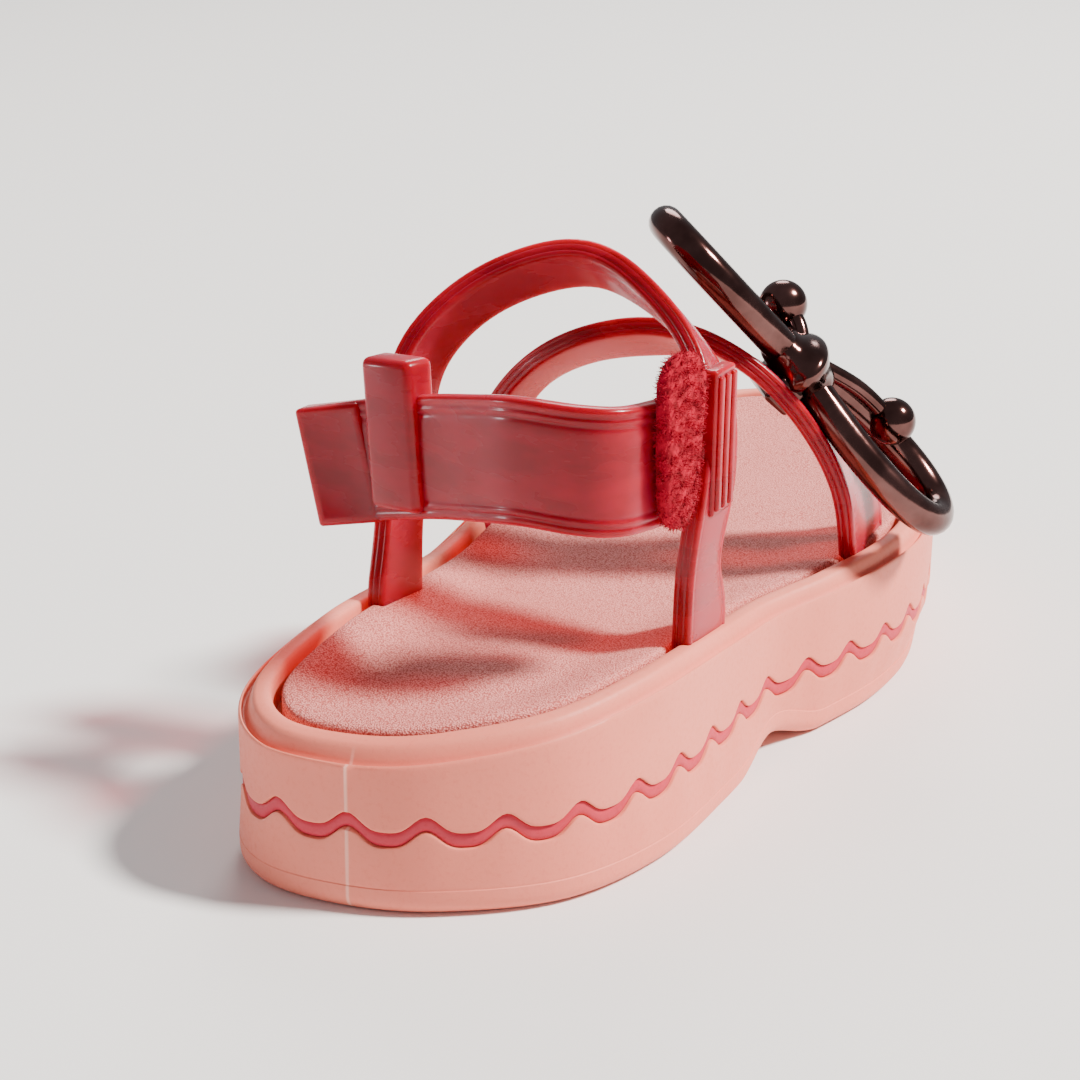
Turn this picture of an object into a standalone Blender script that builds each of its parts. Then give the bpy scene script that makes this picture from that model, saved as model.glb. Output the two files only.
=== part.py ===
"""Jelly sandal for the right foot, one assembly of separate sub-parts.

The toe points along +Y, the outer (lateral) side of the foot is +X, and the
sole stands on Z = 0.  The tables and functions count Y from the back of the
heel; main then moves all pieces so that the middle of the heel's flat spot is
the origin.  Every size is set once in the first section, and the tables hold
shares of those sizes.
"""
import math

import bpy
import bmesh
import numpy as np
from mathutils import Matrix, Vector

MM = 0.001

# Driving sizes of the sole
SOLE_LENGTH = 170.0 * MM
BALL_WIDTH = 66.0 * MM
RIM_HEIGHT = 23.0 * MM          # rim above the floor, at the waist
WAVE_HEIGHT = 10.7 * MM         # middle of the wavy strip above the floor
WAVE_LENGTH = 9.4 * MM
WAVE_RISE = 1.1 * MM            # crest above the middle line
WAVE_TOE_SHARE = 0.4            # how much of the toe spring the strip follows
STRIP_HEIGHT = 1.5 * MM
STRIP_INSET = 0.8 * MM
STRIP_DEPTH = 5.0 * MM
TOE_SPRING = 6.0 * MM
TOE_SPRING_START = 0.62         # share of the length
ARCH_HEIGHT = 2.9 * MM
ARCH_START = 0.312              # share of the length
ARCH_END = 0.456
FLARE = 0.9 * MM                # the wall's lean at the floor
BOTTOM_ROUND = 2.2 * MM
TREAD_GROOVE_WIDTH = 2.4 * MM
TREAD_GROOVE_DEPTH = 1.4 * MM
TREAD_GROOVE_PITCH = 9.0 * MM
TREAD_CENTRE = 2.0 * MM         # the grooves' middle, to the outer side
RIM_WIDTH = 4.4 * MM
RIM_STEP = 1.9 * MM             # the wall's top edge below the rim's lip
RIM_LEDGE = 0.6 * MM
LIP_START = 1.9 * MM            # inset of the lip's flat top
LIP_ROUND = 0.7 * MM
RECESS_DEPTH = 4.0 * MM
INSOLE_GROOVE = 1.0 * MM
INSOLE_LOW = 0.4 * MM           # top of the insole's edge below the rim
INSOLE_DISH = 1.6 * MM          # heel cup and ball hollow below the edge
INSOLE_ROUND = 1.0 * MM
DISH_START = 6.0 * MM           # the hollow's slope, in from the insole's edge
DISH_END = 11.0 * MM
GAP = 0.3 * MM                  # between separate pieces
SLOT_GAP = 0.5 * MM             # round a strap where it goes into the sole

# Driving sizes of the straps
INSTEP_HEIGHT = 68.5 * MM       # middle of the ankle hoop above the floor
BAND_WIDTH = 11.5 * MM
BAND_THICKNESS = 2.8 * MM
ANCHOR_DEPTH = 5.4 * MM         # how far a strap's foot goes into the sole
HEEL_STRAP_HEIGHT = 16.0 * MM
HEEL_STRAP_THICKNESS = 2.2 * MM
END_BLOCK = 8.2 * MM            # length of the strap's squared end
END_BLOCK_THICKNESS = 5.0 * MM
KEEPER_WALL = 1.3 * MM
KEEPER_WIDTH = 8.6 * MM
KEEPER_ARM = 2.4 * MM           # web that joins the keeper to its leg
KEEPER_OVERHANG = 5.2 * MM      # keeper above the heel strap's top edge
SIDE_KEEPER_WIDTH = 6.0 * MM
SIDE_KEEPER_HEIGHT = 19.0 * MM
SIDE_KEEPER_WALL = 2.2 * MM
SIDE_KEEPER_RIB = 0.5 * MM
PAD_HEIGHT = 22.0 * MM
PAD_LENGTH = 9.0 * MM
PAD_THICKNESS = 2.2 * MM
PAD_LIFT = 3.0 * MM             # pad's middle above the strap's middle

# Driving sizes of the bow
BOW_TUBE = 5.0 * MM             # diameter
BOW_LOOP_LENGTH = 26.0 * MM
LOW_LOOP_SHARE = 1.12           # the lower loop's length against the upper one's
BOW_LOOP_WIDTH = 17.0 * MM
BOW_BALL = 7.0 * MM             # diameter
BOW_TAIL = 2.6 * MM
BOW_LIFT = 1.6 * MM             # loops' middle above the wrap
KNOT_LENGTH = 12.0 * MM
KNOT_WIDTH = 15.0 * MM
KNOT_HEIGHT = 7.0 * MM
WRAP_WALL = 1.1 * MM
WRAP_LENGTH = 4.4 * MM
LOW_LOOP_TILT = 18.0            # degrees that the lower loop turns about the long axis

WAVE_STEPS = 6                  # mesh steps in one wave
RING_SHARE = 3                  # the plain rings have a third of the points

# Sole outline seen from above, from the heel up the outer side to the toe
# and back down the inner side: (share of length, share of ball width)
SOLE_OUTLINE = [
    (-0.002, 0.000), (0.024, 0.170), (0.082, 0.335), (0.170, 0.413),
    (0.280, 0.426), (0.368, 0.426), (0.412, 0.452), (0.455, 0.492),
    (0.530, 0.538), (0.610, 0.545), (0.690, 0.508), (0.780, 0.440),
    (0.880, 0.318), (0.965, 0.135), (1.000, -0.090),
    (0.965, -0.310), (0.865, -0.445), (0.735, -0.485), (0.600, -0.475),
    (0.480, -0.447), (0.360, -0.402), (0.250, -0.366), (0.145, -0.348),
    (0.048, -0.314), (0.000, -0.190),
]

# Along the sole: (share of length, share of the rim height)
RIM_PROFILE = [
    (0.00, 0.90), (0.08, 1.02), (0.18, 1.08), (0.27, 1.05),
    (0.38, 0.99), (0.50, 1.03), (0.75, 1.03), (1.00, 1.10),
]

# Along the sole: (share of length, share of the flare); the wall leans out
# at the heel and in under the ball
FLARE_PROFILE = [
    (0.00, 0.4), (0.25, 1.0), (0.36, 0.3), (0.45, -0.9), (0.60, -1.5), (1.00, -1.5),
]

# A strap's route: across is a share of the ball width, along of the sole's
# length, up of the instep height, face is the outward direction of the band,
# and wide is a share of the band width.
ANKLE_HOOP = [
    # across, along, up, face, wide
    (-0.268, 0.236, 0.365, (-1.00, 0.00, 0.00), 0.96),
    (-0.274, 0.248, 0.500, (-1.00, 0.00, 0.00), 0.80),
    (-0.286, 0.268, 0.670, (-1.00, 0.10, 0.12), 0.82),
    (-0.276, 0.292, 0.818, (-0.85, 0.30, 0.45), 0.84),
    (-0.173, 0.328, 0.936, (-0.45, 0.50, 0.75), 0.82),
    (0.022, 0.346, 0.998, (0.00, 0.62, 0.78), 0.82),
    (0.192, 0.341, 0.934, (0.45, 0.50, 0.75), 0.97),
    (0.322, 0.321, 0.822, (0.85, 0.30, 0.45), 1.06),
    (0.374, 0.288, 0.670, (1.00, 0.08, 0.12), 0.95),
    (0.370, 0.268, 0.500, (1.00, 0.00, 0.00), 0.80),
    (0.365, 0.278, 0.365, (1.00, 0.00, 0.00), 1.12),
]
FRONT_HOOP = [
    (-0.395, 0.488, 0.350, (-1.00, 0.00, 0.00), 1.05),
    (-0.390, 0.482, 0.480, (-1.00, 0.00, 0.10), 1.00),
    (-0.310, 0.474, 0.630, (-0.85, 0.10, 0.50), 1.00),
    (-0.165, 0.466, 0.738, (-0.50, 0.30, 0.80), 1.04),
    (0.010, 0.466, 0.790, (-0.05, 0.45, 0.90), 1.08),
    (0.155, 0.474, 0.785, (0.30, 0.42, 0.85), 1.14),
    (0.290, 0.496, 0.700, (0.62, 0.40, 0.67), 1.25),
    (0.396, 0.532, 0.540, (0.85, 0.30, 0.35), 1.42),
    (0.440, 0.566, 0.355, (1.00, 0.12, 0.00), 1.58),
]
BOW_ROW = 6                     # row of the front hoop that carries the bow
BOW_DOWN = (0.61, 0.31, -0.71)  # the bow's long axis
BOW_FACE = (0.62, 0.40, 0.67)   # the bow's outward side

# Tread grooves: from and to as shares of the length, reach of the ball width
TREAD_FIELDS = [(0.09, 0.33, 0.55), (0.54, 0.80, 0.72)]

# Heel strap's route: across, along and up, as in the hoops
HEEL_STRAP_ROUTE = [
    (-0.397, 0.199, 0.625), (-0.332, 0.199, 0.639), (-0.241, 0.196, 0.661),
    (-0.094, 0.182, 0.695), (0.029, 0.165, 0.720), (0.141, 0.150, 0.739),
    (0.261, 0.146, 0.742), (0.324, 0.164, 0.736), (0.352, 0.205, 0.730),
    (0.366, 0.236, 0.728),
]
KEEPER_AT = 0.235               # share of the heel strap's route

COLOURS = {
    "outsole": ((0.93, 0.47, 0.41, 1.0), 0.55, 0.0),
    "midsole": ((0.93, 0.47, 0.41, 1.0), 0.55, 0.0),
    "wave_strip": ((0.66, 0.09, 0.13, 1.0), 0.4, 0.0),
    "insole": ((0.80, 0.35, 0.33, 1.0), 0.8, 0.0),
    "ankle_hoop": ((0.50, 0.02, 0.03, 1.0), 0.18, 0.0),
    "front_hoop": ((0.50, 0.02, 0.03, 1.0), 0.18, 0.0),
    "heel_strap": ((0.55, 0.03, 0.05, 1.0), 0.18, 0.0),
    "hook_pad": ((0.53, 0.01, 0.03, 1.0), 0.95, 0.0),
    "bow": ((0.13, 0.06, 0.05, 1.0), 0.12, 1.0),
}


def clear_scene():
    """Remove whatever the file already holds."""
    for item in list(bpy.data.objects):
        bpy.data.objects.remove(item, do_unlink=True)


def cubic_through(points, closed, count):
    """Points at even steps along a smooth curve through the given points."""
    points = np.asarray(points, dtype=float)
    if closed:
        knots = np.vstack([points[-1], points, points[0], points[1]])
    else:
        knots = np.vstack([2 * points[0] - points[1], points,
                           2 * points[-1] - points[-2]])
    fine = []
    for i in range(1, len(knots) - 2):
        a, b, c, d = knots[i - 1:i + 3]
        for t in np.linspace(0.0, 1.0, 24, endpoint=False):
            fine.append(0.5 * (2 * b + (c - a) * t + (2 * a - 5 * b + 4 * c - d) * t ** 2
                               + (3 * b - a - 3 * c + d) * t ** 3))
    fine.append(knots[-2])
    fine = np.array(fine)
    steps = np.linalg.norm(np.diff(fine, axis=0)[:, :3], axis=1)
    length = np.concatenate([[0.0], np.cumsum(steps)])
    wanted = np.linspace(0.0, length[-1], count, endpoint=not closed)
    even = [np.interp(wanted, length, fine[:, k]) for k in range(fine.shape[1])]
    return np.stack(even, axis=1), length[-1]


def profile(rows, share):
    """Smooth value of a two-column table at a share of its length."""
    shares = np.array([row[0] for row in rows])
    values = np.array([row[1] for row in rows])
    slopes = np.gradient(values, shares)
    i = int(np.clip(np.searchsorted(shares, share) - 1, 0, len(rows) - 2))
    span = shares[i + 1] - shares[i]
    t = float(np.clip((share - shares[i]) / span, 0.0, 1.0))
    return (values[i] * (2 * t ** 3 - 3 * t ** 2 + 1) + slopes[i] * span * (t ** 3 - 2 * t ** 2 + t)
            + values[i + 1] * (3 * t ** 2 - 2 * t ** 3) + slopes[i + 1] * span * (t ** 3 - t ** 2))


class SoleOutline:
    """The sole's outline, with insets of it at any distance."""

    def __init__(self):
        rows = [(across * BALL_WIDTH, along * SOLE_LENGTH) for along, across in SOLE_OUTLINE]
        _, girth = cubic_through(rows, True, 100)
        self.waves = 2 * round(girth / WAVE_LENGTH / 2)
        self.count = self.waves * WAVE_STEPS
        self.points, _ = cubic_through(rows, True, self.count)
        ahead = np.roll(self.points, -1, axis=0) - np.roll(self.points, 1, axis=0)
        outward = np.stack([ahead[:, 1], -ahead[:, 0]], axis=1)
        self.outward = outward / np.linalg.norm(outward, axis=1)[:, None]

    def inset(self, distance):
        return self.points - self.outward * distance

    def wave(self, index):
        """Pointed crests and round troughs."""
        turn = 2 * math.pi * index / WAVE_STEPS
        return WAVE_RISE * (math.cos(turn) + 0.22 * math.cos(2 * turn) - 0.06)


def toe_rise(y):
    past = (y / SOLE_LENGTH - TOE_SPRING_START) / (1.0 - TOE_SPRING_START)
    return TOE_SPRING * max(0.0, past) ** 2


def floor_height(y):
    """Underside of the sole: flat heel, arch, flat ball and rising toe."""
    share = (y / SOLE_LENGTH - ARCH_START) / (ARCH_END - ARCH_START)
    arch = ARCH_HEIGHT * math.sin(math.pi * share) ** 2 if 0.0 < share < 1.0 else 0.0
    return toe_rise(y) + arch


def wave_line(y):
    return WAVE_HEIGHT + WAVE_TOE_SHARE * toe_rise(y)


def flare(y):
    return FLARE * profile(FLARE_PROFILE, y / SOLE_LENGTH)


def rim_height(y):
    return RIM_HEIGHT * profile(RIM_PROFILE, y / SOLE_LENGTH)


def add_object(name, mesh_data, hidden=False):
    """Link a mesh as a named object in its own colour, or as a hidden cutter."""
    item = bpy.data.objects.new(name, mesh_data)
    bpy.context.scene.collection.objects.link(item)
    if hidden:
        item.hide_render = True
        item.display_type = 'WIRE'
        return item
    colour, roughness, metallic = COLOURS[name]
    material = bpy.data.materials.new(name)
    material.use_nodes = True
    shader = material.node_tree.nodes["Principled BSDF"]
    shader.inputs["Base Color"].default_value = colour
    shader.inputs["Roughness"].default_value = roughness
    shader.inputs["Metallic"].default_value = metallic
    mesh_data.materials.append(material)
    return item


def finish_mesh(bm, name, sharp=35.0):
    """Turn a bmesh into a mesh with outward faces and smooth shading."""
    bmesh.ops.triangulate(bm, faces=bm.faces[:])
    bmesh.ops.recalc_face_normals(bm, faces=bm.faces[:])
    mesh_data = bpy.data.meshes.new(name)
    bm.to_mesh(mesh_data)
    bm.free()
    mesh_data.shade_smooth()
    mesh_data.set_sharp_from_angle(angle=math.radians(sharp))
    return mesh_data


def bridge_rings(bm, lower, upper):
    """Faces between two closed rings whose counts are equal or one is a multiple."""
    if len(lower) < len(upper):
        lower, upper = upper, lower
    ratio = len(lower) // len(upper)
    for i in range(len(upper)):
        first = upper[i]
        last = upper[(i + 1) % len(upper)]
        fine = [lower[(i * ratio + k) % len(lower)] for k in range(ratio + 1)]
        if ratio == 1:
            bm.faces.new([fine[0], fine[1], last, first])
            continue
        half = ratio // 2 + 1
        for k in range(ratio):
            if k + 1 < half:
                bm.faces.new([fine[k], fine[k + 1], first])
            elif k + 1 == half:
                bm.faces.new([fine[k], fine[k + 1], last, first])
            else:
                bm.faces.new([fine[k], fine[k + 1], last])


def cap_ring(bm, ring):
    """Close a ring with strips that run straight across the foot."""
    half = len(ring) // 2
    for i in range(half):
        left, right = ring[-i], ring[i]
        next_left, next_right = ring[-i - 1], ring[i + 1]
        if i == 0:
            bm.faces.new([right, next_right, next_left])
        elif i == half - 1:
            bm.faces.new([left, right, next_right])
        else:
            bm.faces.new([left, right, next_right, next_left])


def ringed_solid(name, rings, sharp=35.0):
    """One closed mesh from a stack of rings, capped at both ends."""
    bm = bmesh.new()
    made = [[bm.verts.new(Vector(point)) for point in ring] for ring in rings]
    for lower, upper in zip(made[:-1], made[1:]):
        bridge_rings(bm, lower, upper)
    cap_ring(bm, made[0])
    cap_ring(bm, made[-1])
    return finish_mesh(bm, name, sharp)


def plain_ring(outline, distance, height):
    """A ring with a third of the points; both arguments may depend on Y."""
    ring = []
    for point, outward in zip(outline.points[::RING_SHARE], outline.outward[::RING_SHARE]):
        inset = distance(point[1]) if callable(distance) else distance
        x, y = point - outward * inset
        ring.append((x, y, height(y)))
    return ring


def wavy_ring(outline, distance, lift):
    flat = outline.inset(distance)
    return [(x, y, wave_line(y) + outline.wave(i) + lift) for i, (x, y) in enumerate(flat)]


def boolean(item, other, operation):
    modifier = item.modifiers.new(operation.lower() + "_" + other.name, 'BOOLEAN')
    modifier.operation = operation
    modifier.object = other
    modifier.solver = 'EXACT'


# Width of the layers' wavy seam, and how far in it becomes a plain plane
SEAM = STRIP_HEIGHT + 2 * GAP
SEAM_INSET = STRIP_INSET + STRIP_DEPTH + GAP
PLAIN_INSET = SEAM_INSET + 1.2 * MM


def make_outsole(outline):
    """Lower pink layer: wavy top edge, arch, toe spring and tread grooves."""
    rings = [
        plain_ring(outline, lambda y: BOTTOM_ROUND - flare(y), floor_height),
        plain_ring(outline, lambda y: 0.3 * BOTTOM_ROUND - flare(y),
                   lambda y: floor_height(y) + 0.3 * BOTTOM_ROUND),
        plain_ring(outline, lambda y: -flare(y), lambda y: floor_height(y) + BOTTOM_ROUND),
        wavy_ring(outline, 0.0, -SEAM / 2),
        wavy_ring(outline, SEAM_INSET, -SEAM / 2),
        plain_ring(outline, PLAIN_INSET, lambda y: wave_line(y) - GAP / 2),
    ]
    item = add_object("outsole", ringed_solid("outsole", rings))
    boolean(item, tread_cutter(), 'DIFFERENCE')
    return item


def tread_cutter():
    """Cross bars that cut the tread grooves under the heel and the ball."""
    bm = bmesh.new()
    for start, end, reach in TREAD_FIELDS:
        count = int((end - start) * SOLE_LENGTH / TREAD_GROOVE_PITCH)
        for i in range(count + 1):
            y = start * SOLE_LENGTH + i * TREAD_GROOVE_PITCH
            low = floor_height(y) - TREAD_GROOVE_DEPTH
            made = bmesh.ops.create_cube(bm, size=1.0)["verts"]
            bmesh.ops.scale(bm, verts=made, vec=Vector((
                reach * BALL_WIDTH, TREAD_GROOVE_WIDTH, 2 * TREAD_GROOVE_DEPTH)))
            bmesh.ops.translate(bm, verts=made, vec=Vector((
                TREAD_CENTRE, y, low + TREAD_GROOVE_DEPTH)))
    return add_object("tread_cutter", finish_mesh(bm, "tread_cutter"), hidden=True)


def make_midsole(outline):
    """Upper pink layer: wavy lower edge, rounded rim and a recess for the insole."""

    def recess(y):
        return rim_height(y) - RECESS_DEPTH

    rings = [
        plain_ring(outline, PLAIN_INSET, lambda y: wave_line(y) + GAP / 2),
        wavy_ring(outline, SEAM_INSET, SEAM / 2),
        wavy_ring(outline, 0.0, SEAM / 2),
        plain_ring(outline, 0.0, lambda y: rim_height(y) - RIM_STEP),
        plain_ring(outline, RIM_LEDGE, lambda y: rim_height(y) - RIM_STEP),
        plain_ring(outline, LIP_START, rim_height),
        plain_ring(outline, RIM_WIDTH - LIP_ROUND, rim_height),
        plain_ring(outline, RIM_WIDTH, lambda y: rim_height(y) - LIP_ROUND),
        plain_ring(outline, RIM_WIDTH, recess),
    ]
    return add_object("midsole", ringed_solid("midsole", rings))


def make_wave_strip(outline):
    """Red strip that shows as a wavy line between the two layers."""
    half = STRIP_HEIGHT / 2
    inner = STRIP_INSET + STRIP_DEPTH
    rings = [
        wavy_ring(outline, inner, -half), wavy_ring(outline, STRIP_INSET, -half),
        wavy_ring(outline, STRIP_INSET, half), wavy_ring(outline, inner, half),
    ]
    bm = bmesh.new()
    made = [[bm.verts.new(Vector(point)) for point in ring] for ring in rings]
    for i in range(4):
        bridge_rings(bm, made[i], made[(i + 1) % 4])
    return add_object("wave_strip", finish_mesh(bm, "wave_strip"))


def make_insole(outline):
    """Textured pad that lies in the recess, hollowed a little under the foot."""
    edge = RIM_WIDTH + INSOLE_GROOVE

    def low(y):
        return rim_height(y) - RECESS_DEPTH + GAP

    def top(y):
        return rim_height(y) - INSOLE_LOW

    rings = [
        plain_ring(outline, edge, low),
        plain_ring(outline, edge, lambda y: top(y) - INSOLE_ROUND),
        plain_ring(outline, edge + INSOLE_ROUND, top),
        plain_ring(outline, edge + DISH_START, lambda y: top(y) - 0.5 * INSOLE_DISH),
        plain_ring(outline, edge + DISH_END, lambda y: top(y) - INSOLE_DISH),
    ]
    return add_object("insole", ringed_solid("insole", rings))


def strap_frames(rows, count):
    """Centre, tangent, width direction, face direction and width along a strap."""
    table = [(across * BALL_WIDTH, along * SOLE_LENGTH, up * INSTEP_HEIGHT, *face, wide * BAND_WIDTH)
             for across, along, up, face, wide in rows]
    even, _ = cubic_through(table, False, count)
    frames = []
    for i, row in enumerate(even):
        ahead = even[min(i + 1, count - 1), :3] - even[max(i - 1, 0), :3]
        tangent = Vector(ahead).normalized()
        face = Vector(row[3:6])
        face = (face - tangent * face.dot(tangent)).normalized()
        across = tangent.cross(face).normalized()
        frames.append((Vector(row[:3]), tangent, across, face, row[6]))
    return frames


def anchored(frames):
    """Add a straight foot at each end that goes down into the sole's rim."""
    out = list(frames)
    for end in (0, -1):
        centre, _, _, face, width = frames[end]
        down = Vector((0, 0, -1))
        level = rim_height(centre.y) - ANCHOR_DEPTH
        foot = Vector((centre.x, centre.y, level))
        flat_face = Vector((face.x, face.y, 0)).normalized()
        travel = -down if end == 0 else down
        frame = (foot, travel, travel.cross(flat_face), flat_face, width)
        out = [frame] + out if end == 0 else out + [frame]
    return out


def band_section(width, thickness, spread):
    """Eight corners of a strap's section, softened at the edges."""
    w = width / 2 + spread
    t = thickness / 2 + spread
    soft = min(0.30 * thickness, t)
    return [(-w, -t + soft), (-w + soft, -t), (w - soft, -t), (w, -t + soft),
            (w, t - soft), (w - soft, t), (-w + soft, t), (-w, t - soft)]


def swept_band(name, frames, thickness, spread=0.0, lengthen=0.0):
    """Closed band with the section carried along the frames."""
    bm = bmesh.new()
    rings = []
    for i, (centre, tangent, across, face, width) in enumerate(frames):
        if i == 0:
            centre = centre - tangent * lengthen
        if i == len(frames) - 1:
            centre = centre + tangent * lengthen
        ring = [bm.verts.new(centre + across * u + face * v)
                for u, v in band_section(width, thickness, spread)]
        rings.append(ring)
    for lower, upper in zip(rings[:-1], rings[1:]):
        bridge_rings(bm, lower, upper)
    bm.faces.new(rings[0])
    bm.faces.new(rings[-1])
    return finish_mesh(bm, name)


def heel_strap_frames(count):
    rows = [(across * BALL_WIDTH, along * SOLE_LENGTH, up * INSTEP_HEIGHT)
            for across, along, up in HEEL_STRAP_ROUTE]
    even, _ = cubic_through(rows, False, count)
    frames = []
    for i in range(count):
        ahead = even[min(i + 1, count - 1)] - even[max(i - 1, 0)]
        tangent = Vector(ahead).normalized()
        face = tangent.cross(Vector((0, 0, 1))).normalized()
        frames.append((Vector(even[i]), tangent, face.cross(tangent), face, HEEL_STRAP_HEIGHT))
    return frames


def placed_box(name, centre, axes, size, soft=0.0):
    """Box along three given axes, with its long edges rounded if soft is set."""
    bm = bmesh.new()
    bmesh.ops.create_cube(bm, size=1.0)
    bmesh.ops.scale(bm, vec=Vector(size), verts=bm.verts[:])
    if soft:
        bmesh.ops.bevel(bm, geom=bm.edges[:], offset=soft, segments=2, affect='EDGES', profile=0.5)
    turn = Matrix([axes[0], axes[1], axes[2]]).transposed().to_4x4()
    bmesh.ops.transform(bm, matrix=Matrix.Translation(centre) @ turn, verts=bm.verts[:])
    return add_object(name, finish_mesh(bm, name), hidden=True)


def make_heel_strap(frames):
    """Band round the heel with a squared end on the inner side."""
    item = add_object("heel_strap", swept_band("heel_strap", frames, HEEL_STRAP_THICKNESS))
    centre, tangent, up, face, height = frames[0]
    block = placed_box("end_block_guide", centre + tangent * END_BLOCK / 2, (tangent, face, up),
                       (END_BLOCK, END_BLOCK_THICKNESS, height), 0.6 * MM)
    boolean(item, block, 'UNION')
    return item


def make_hook_pad(frames):
    """Fuzzy hook-and-loop pad on the outer face of the heel strap's other end."""
    centre, tangent, up, face, _ = frames[-1]
    lift = HEEL_STRAP_THICKNESS / 2 + GAP + PAD_THICKNESS / 2
    middle = centre - tangent * PAD_LENGTH / 2 + face * lift + up * PAD_LIFT
    bm = bmesh.new()
    corner = 0.42 * PAD_LENGTH
    outline = []
    for side_x, side_z, start in ((1, 1, 0), (-1, 1, 90), (-1, -1, 180), (1, -1, 270)):
        for step in range(4):
            angle = math.radians(start + 30 * step)
            outline.append((side_x * (PAD_LENGTH / 2 - corner) + corner * math.cos(angle),
                            side_z * (PAD_HEIGHT / 2 - corner) + corner * math.sin(angle)))
    rings = []
    for depth, shrink in ((-0.5, 0.0), (0.32, 0.0), (0.5, 0.09)):
        rings.append([bm.verts.new(middle + tangent * u * (1 - shrink) + up * v * (1 - shrink)
                                   + face * depth * PAD_THICKNESS) for u, v in outline])
    bridge_rings(bm, rings[0], rings[1])
    bridge_rings(bm, rings[1], rings[2])
    bm.faces.new(rings[0])
    bm.faces.new(rings[2])
    return add_object("hook_pad", finish_mesh(bm, "hook_pad"))


def make_ankle_hoop(ankle, strap, strap_clearance):
    """Hoop over the instep with the two keepers of the heel strap moulded on."""
    hoop = add_object("ankle_hoop", swept_band("ankle_hoop", ankle, BAND_THICKNESS))
    index = round(KEEPER_AT * (len(strap) - 1))
    centre, tangent, up, face, height = strap[index]
    half = HEEL_STRAP_THICKNESS / 2 + GAP + KEEPER_WALL
    low = -height / 2 - GAP - KEEPER_WALL
    high = height / 2 + KEEPER_OVERHANG
    keeper = placed_box("keeper_guide", centre + up * (low + high) / 2, (tangent, face, up),
                        (KEEPER_WIDTH, 2 * half, high - low), 0.5 * MM)
    boolean(keeper, strap_clearance, 'DIFFERENCE')
    boolean(hoop, keeper, 'UNION')
    back = centre - face * (half - KEEPER_WALL / 2)
    leg = min(ankle[:len(ankle) // 2], key=lambda frame: abs(frame[0].z - back.z))
    reach = leg[0] - back
    ahead = Vector((reach.x, reach.y, 0)).normalized()
    arm = placed_box("arm_guide", (leg[0] + back) / 2, (ahead, Vector((0, 0, 1)).cross(ahead),
                     Vector((0, 0, 1))), (reach.length, KEEPER_ARM, 0.6 * height), 0.0)
    boolean(hoop, arm, 'UNION')
    for rib in range(4):
        boolean(hoop, side_keeper(ankle, rib), 'UNION')
    return hoop


def side_keeper(ankle, rib):
    """Keeper on the outer side, as a plate and three ribs across it."""
    leg = min(ankle[len(ankle) // 2:], key=lambda frame: abs(frame[0].z - 0.70 * INSTEP_HEIGHT))
    centre, _, _, _, width = leg
    out = Vector((1, 0, 0))
    along = Vector((0, 1, 0))
    up = Vector((0, 0, 1))
    rear = centre.y - width / 2 + 0.2 * SIDE_KEEPER_WIDTH
    x = centre.x + BAND_THICKNESS / 2
    place = Vector((x, rear + 0.25 * SIDE_KEEPER_WIDTH, centre.z + 0.09 * SIDE_KEEPER_HEIGHT))
    if rib == 0:
        return placed_box("side_keeper_guide", place, (out, along, up),
                          (SIDE_KEEPER_WALL, SIDE_KEEPER_WIDTH, SIDE_KEEPER_HEIGHT), 0.5 * MM)
    place = place + along * (rib - 2) * 0.33 * SIDE_KEEPER_WIDTH + out * SIDE_KEEPER_WALL / 2
    return placed_box("rib_guide_%d" % rib, place, (out, along, up),
                      (2 * SIDE_KEEPER_RIB, 0.16 * SIDE_KEEPER_WIDTH, 0.92 * SIDE_KEEPER_HEIGHT))


def tube_mesh(name, points, radius, closed, plane, sides=8):
    """Round tube along points that lie near a plane with the given normal."""
    bm = bmesh.new()
    count = len(points)
    rings = []
    for i, point in enumerate(points):
        if closed:
            ahead = points[(i + 1) % count] - points[i - 1]
        else:
            ahead = points[min(i + 1, count - 1)] - points[max(i - 1, 0)]
        tangent = ahead.normalized()
        side = tangent.cross(plane).normalized()
        top = side.cross(tangent)
        rings.append([bm.verts.new(point + (side * math.cos(turn) + top * math.sin(turn)) * radius)
                      for turn in [2 * math.pi * k / sides for k in range(sides)]])
    for lower, upper in zip(rings[:-1], rings[1:]):
        bridge_rings(bm, lower, upper)
    if closed:
        bridge_rings(bm, rings[-1], rings[0])
    else:
        bm.faces.new(rings[0])
        bm.faces.new(rings[-1])
    return finish_mesh(bm, name)


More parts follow.
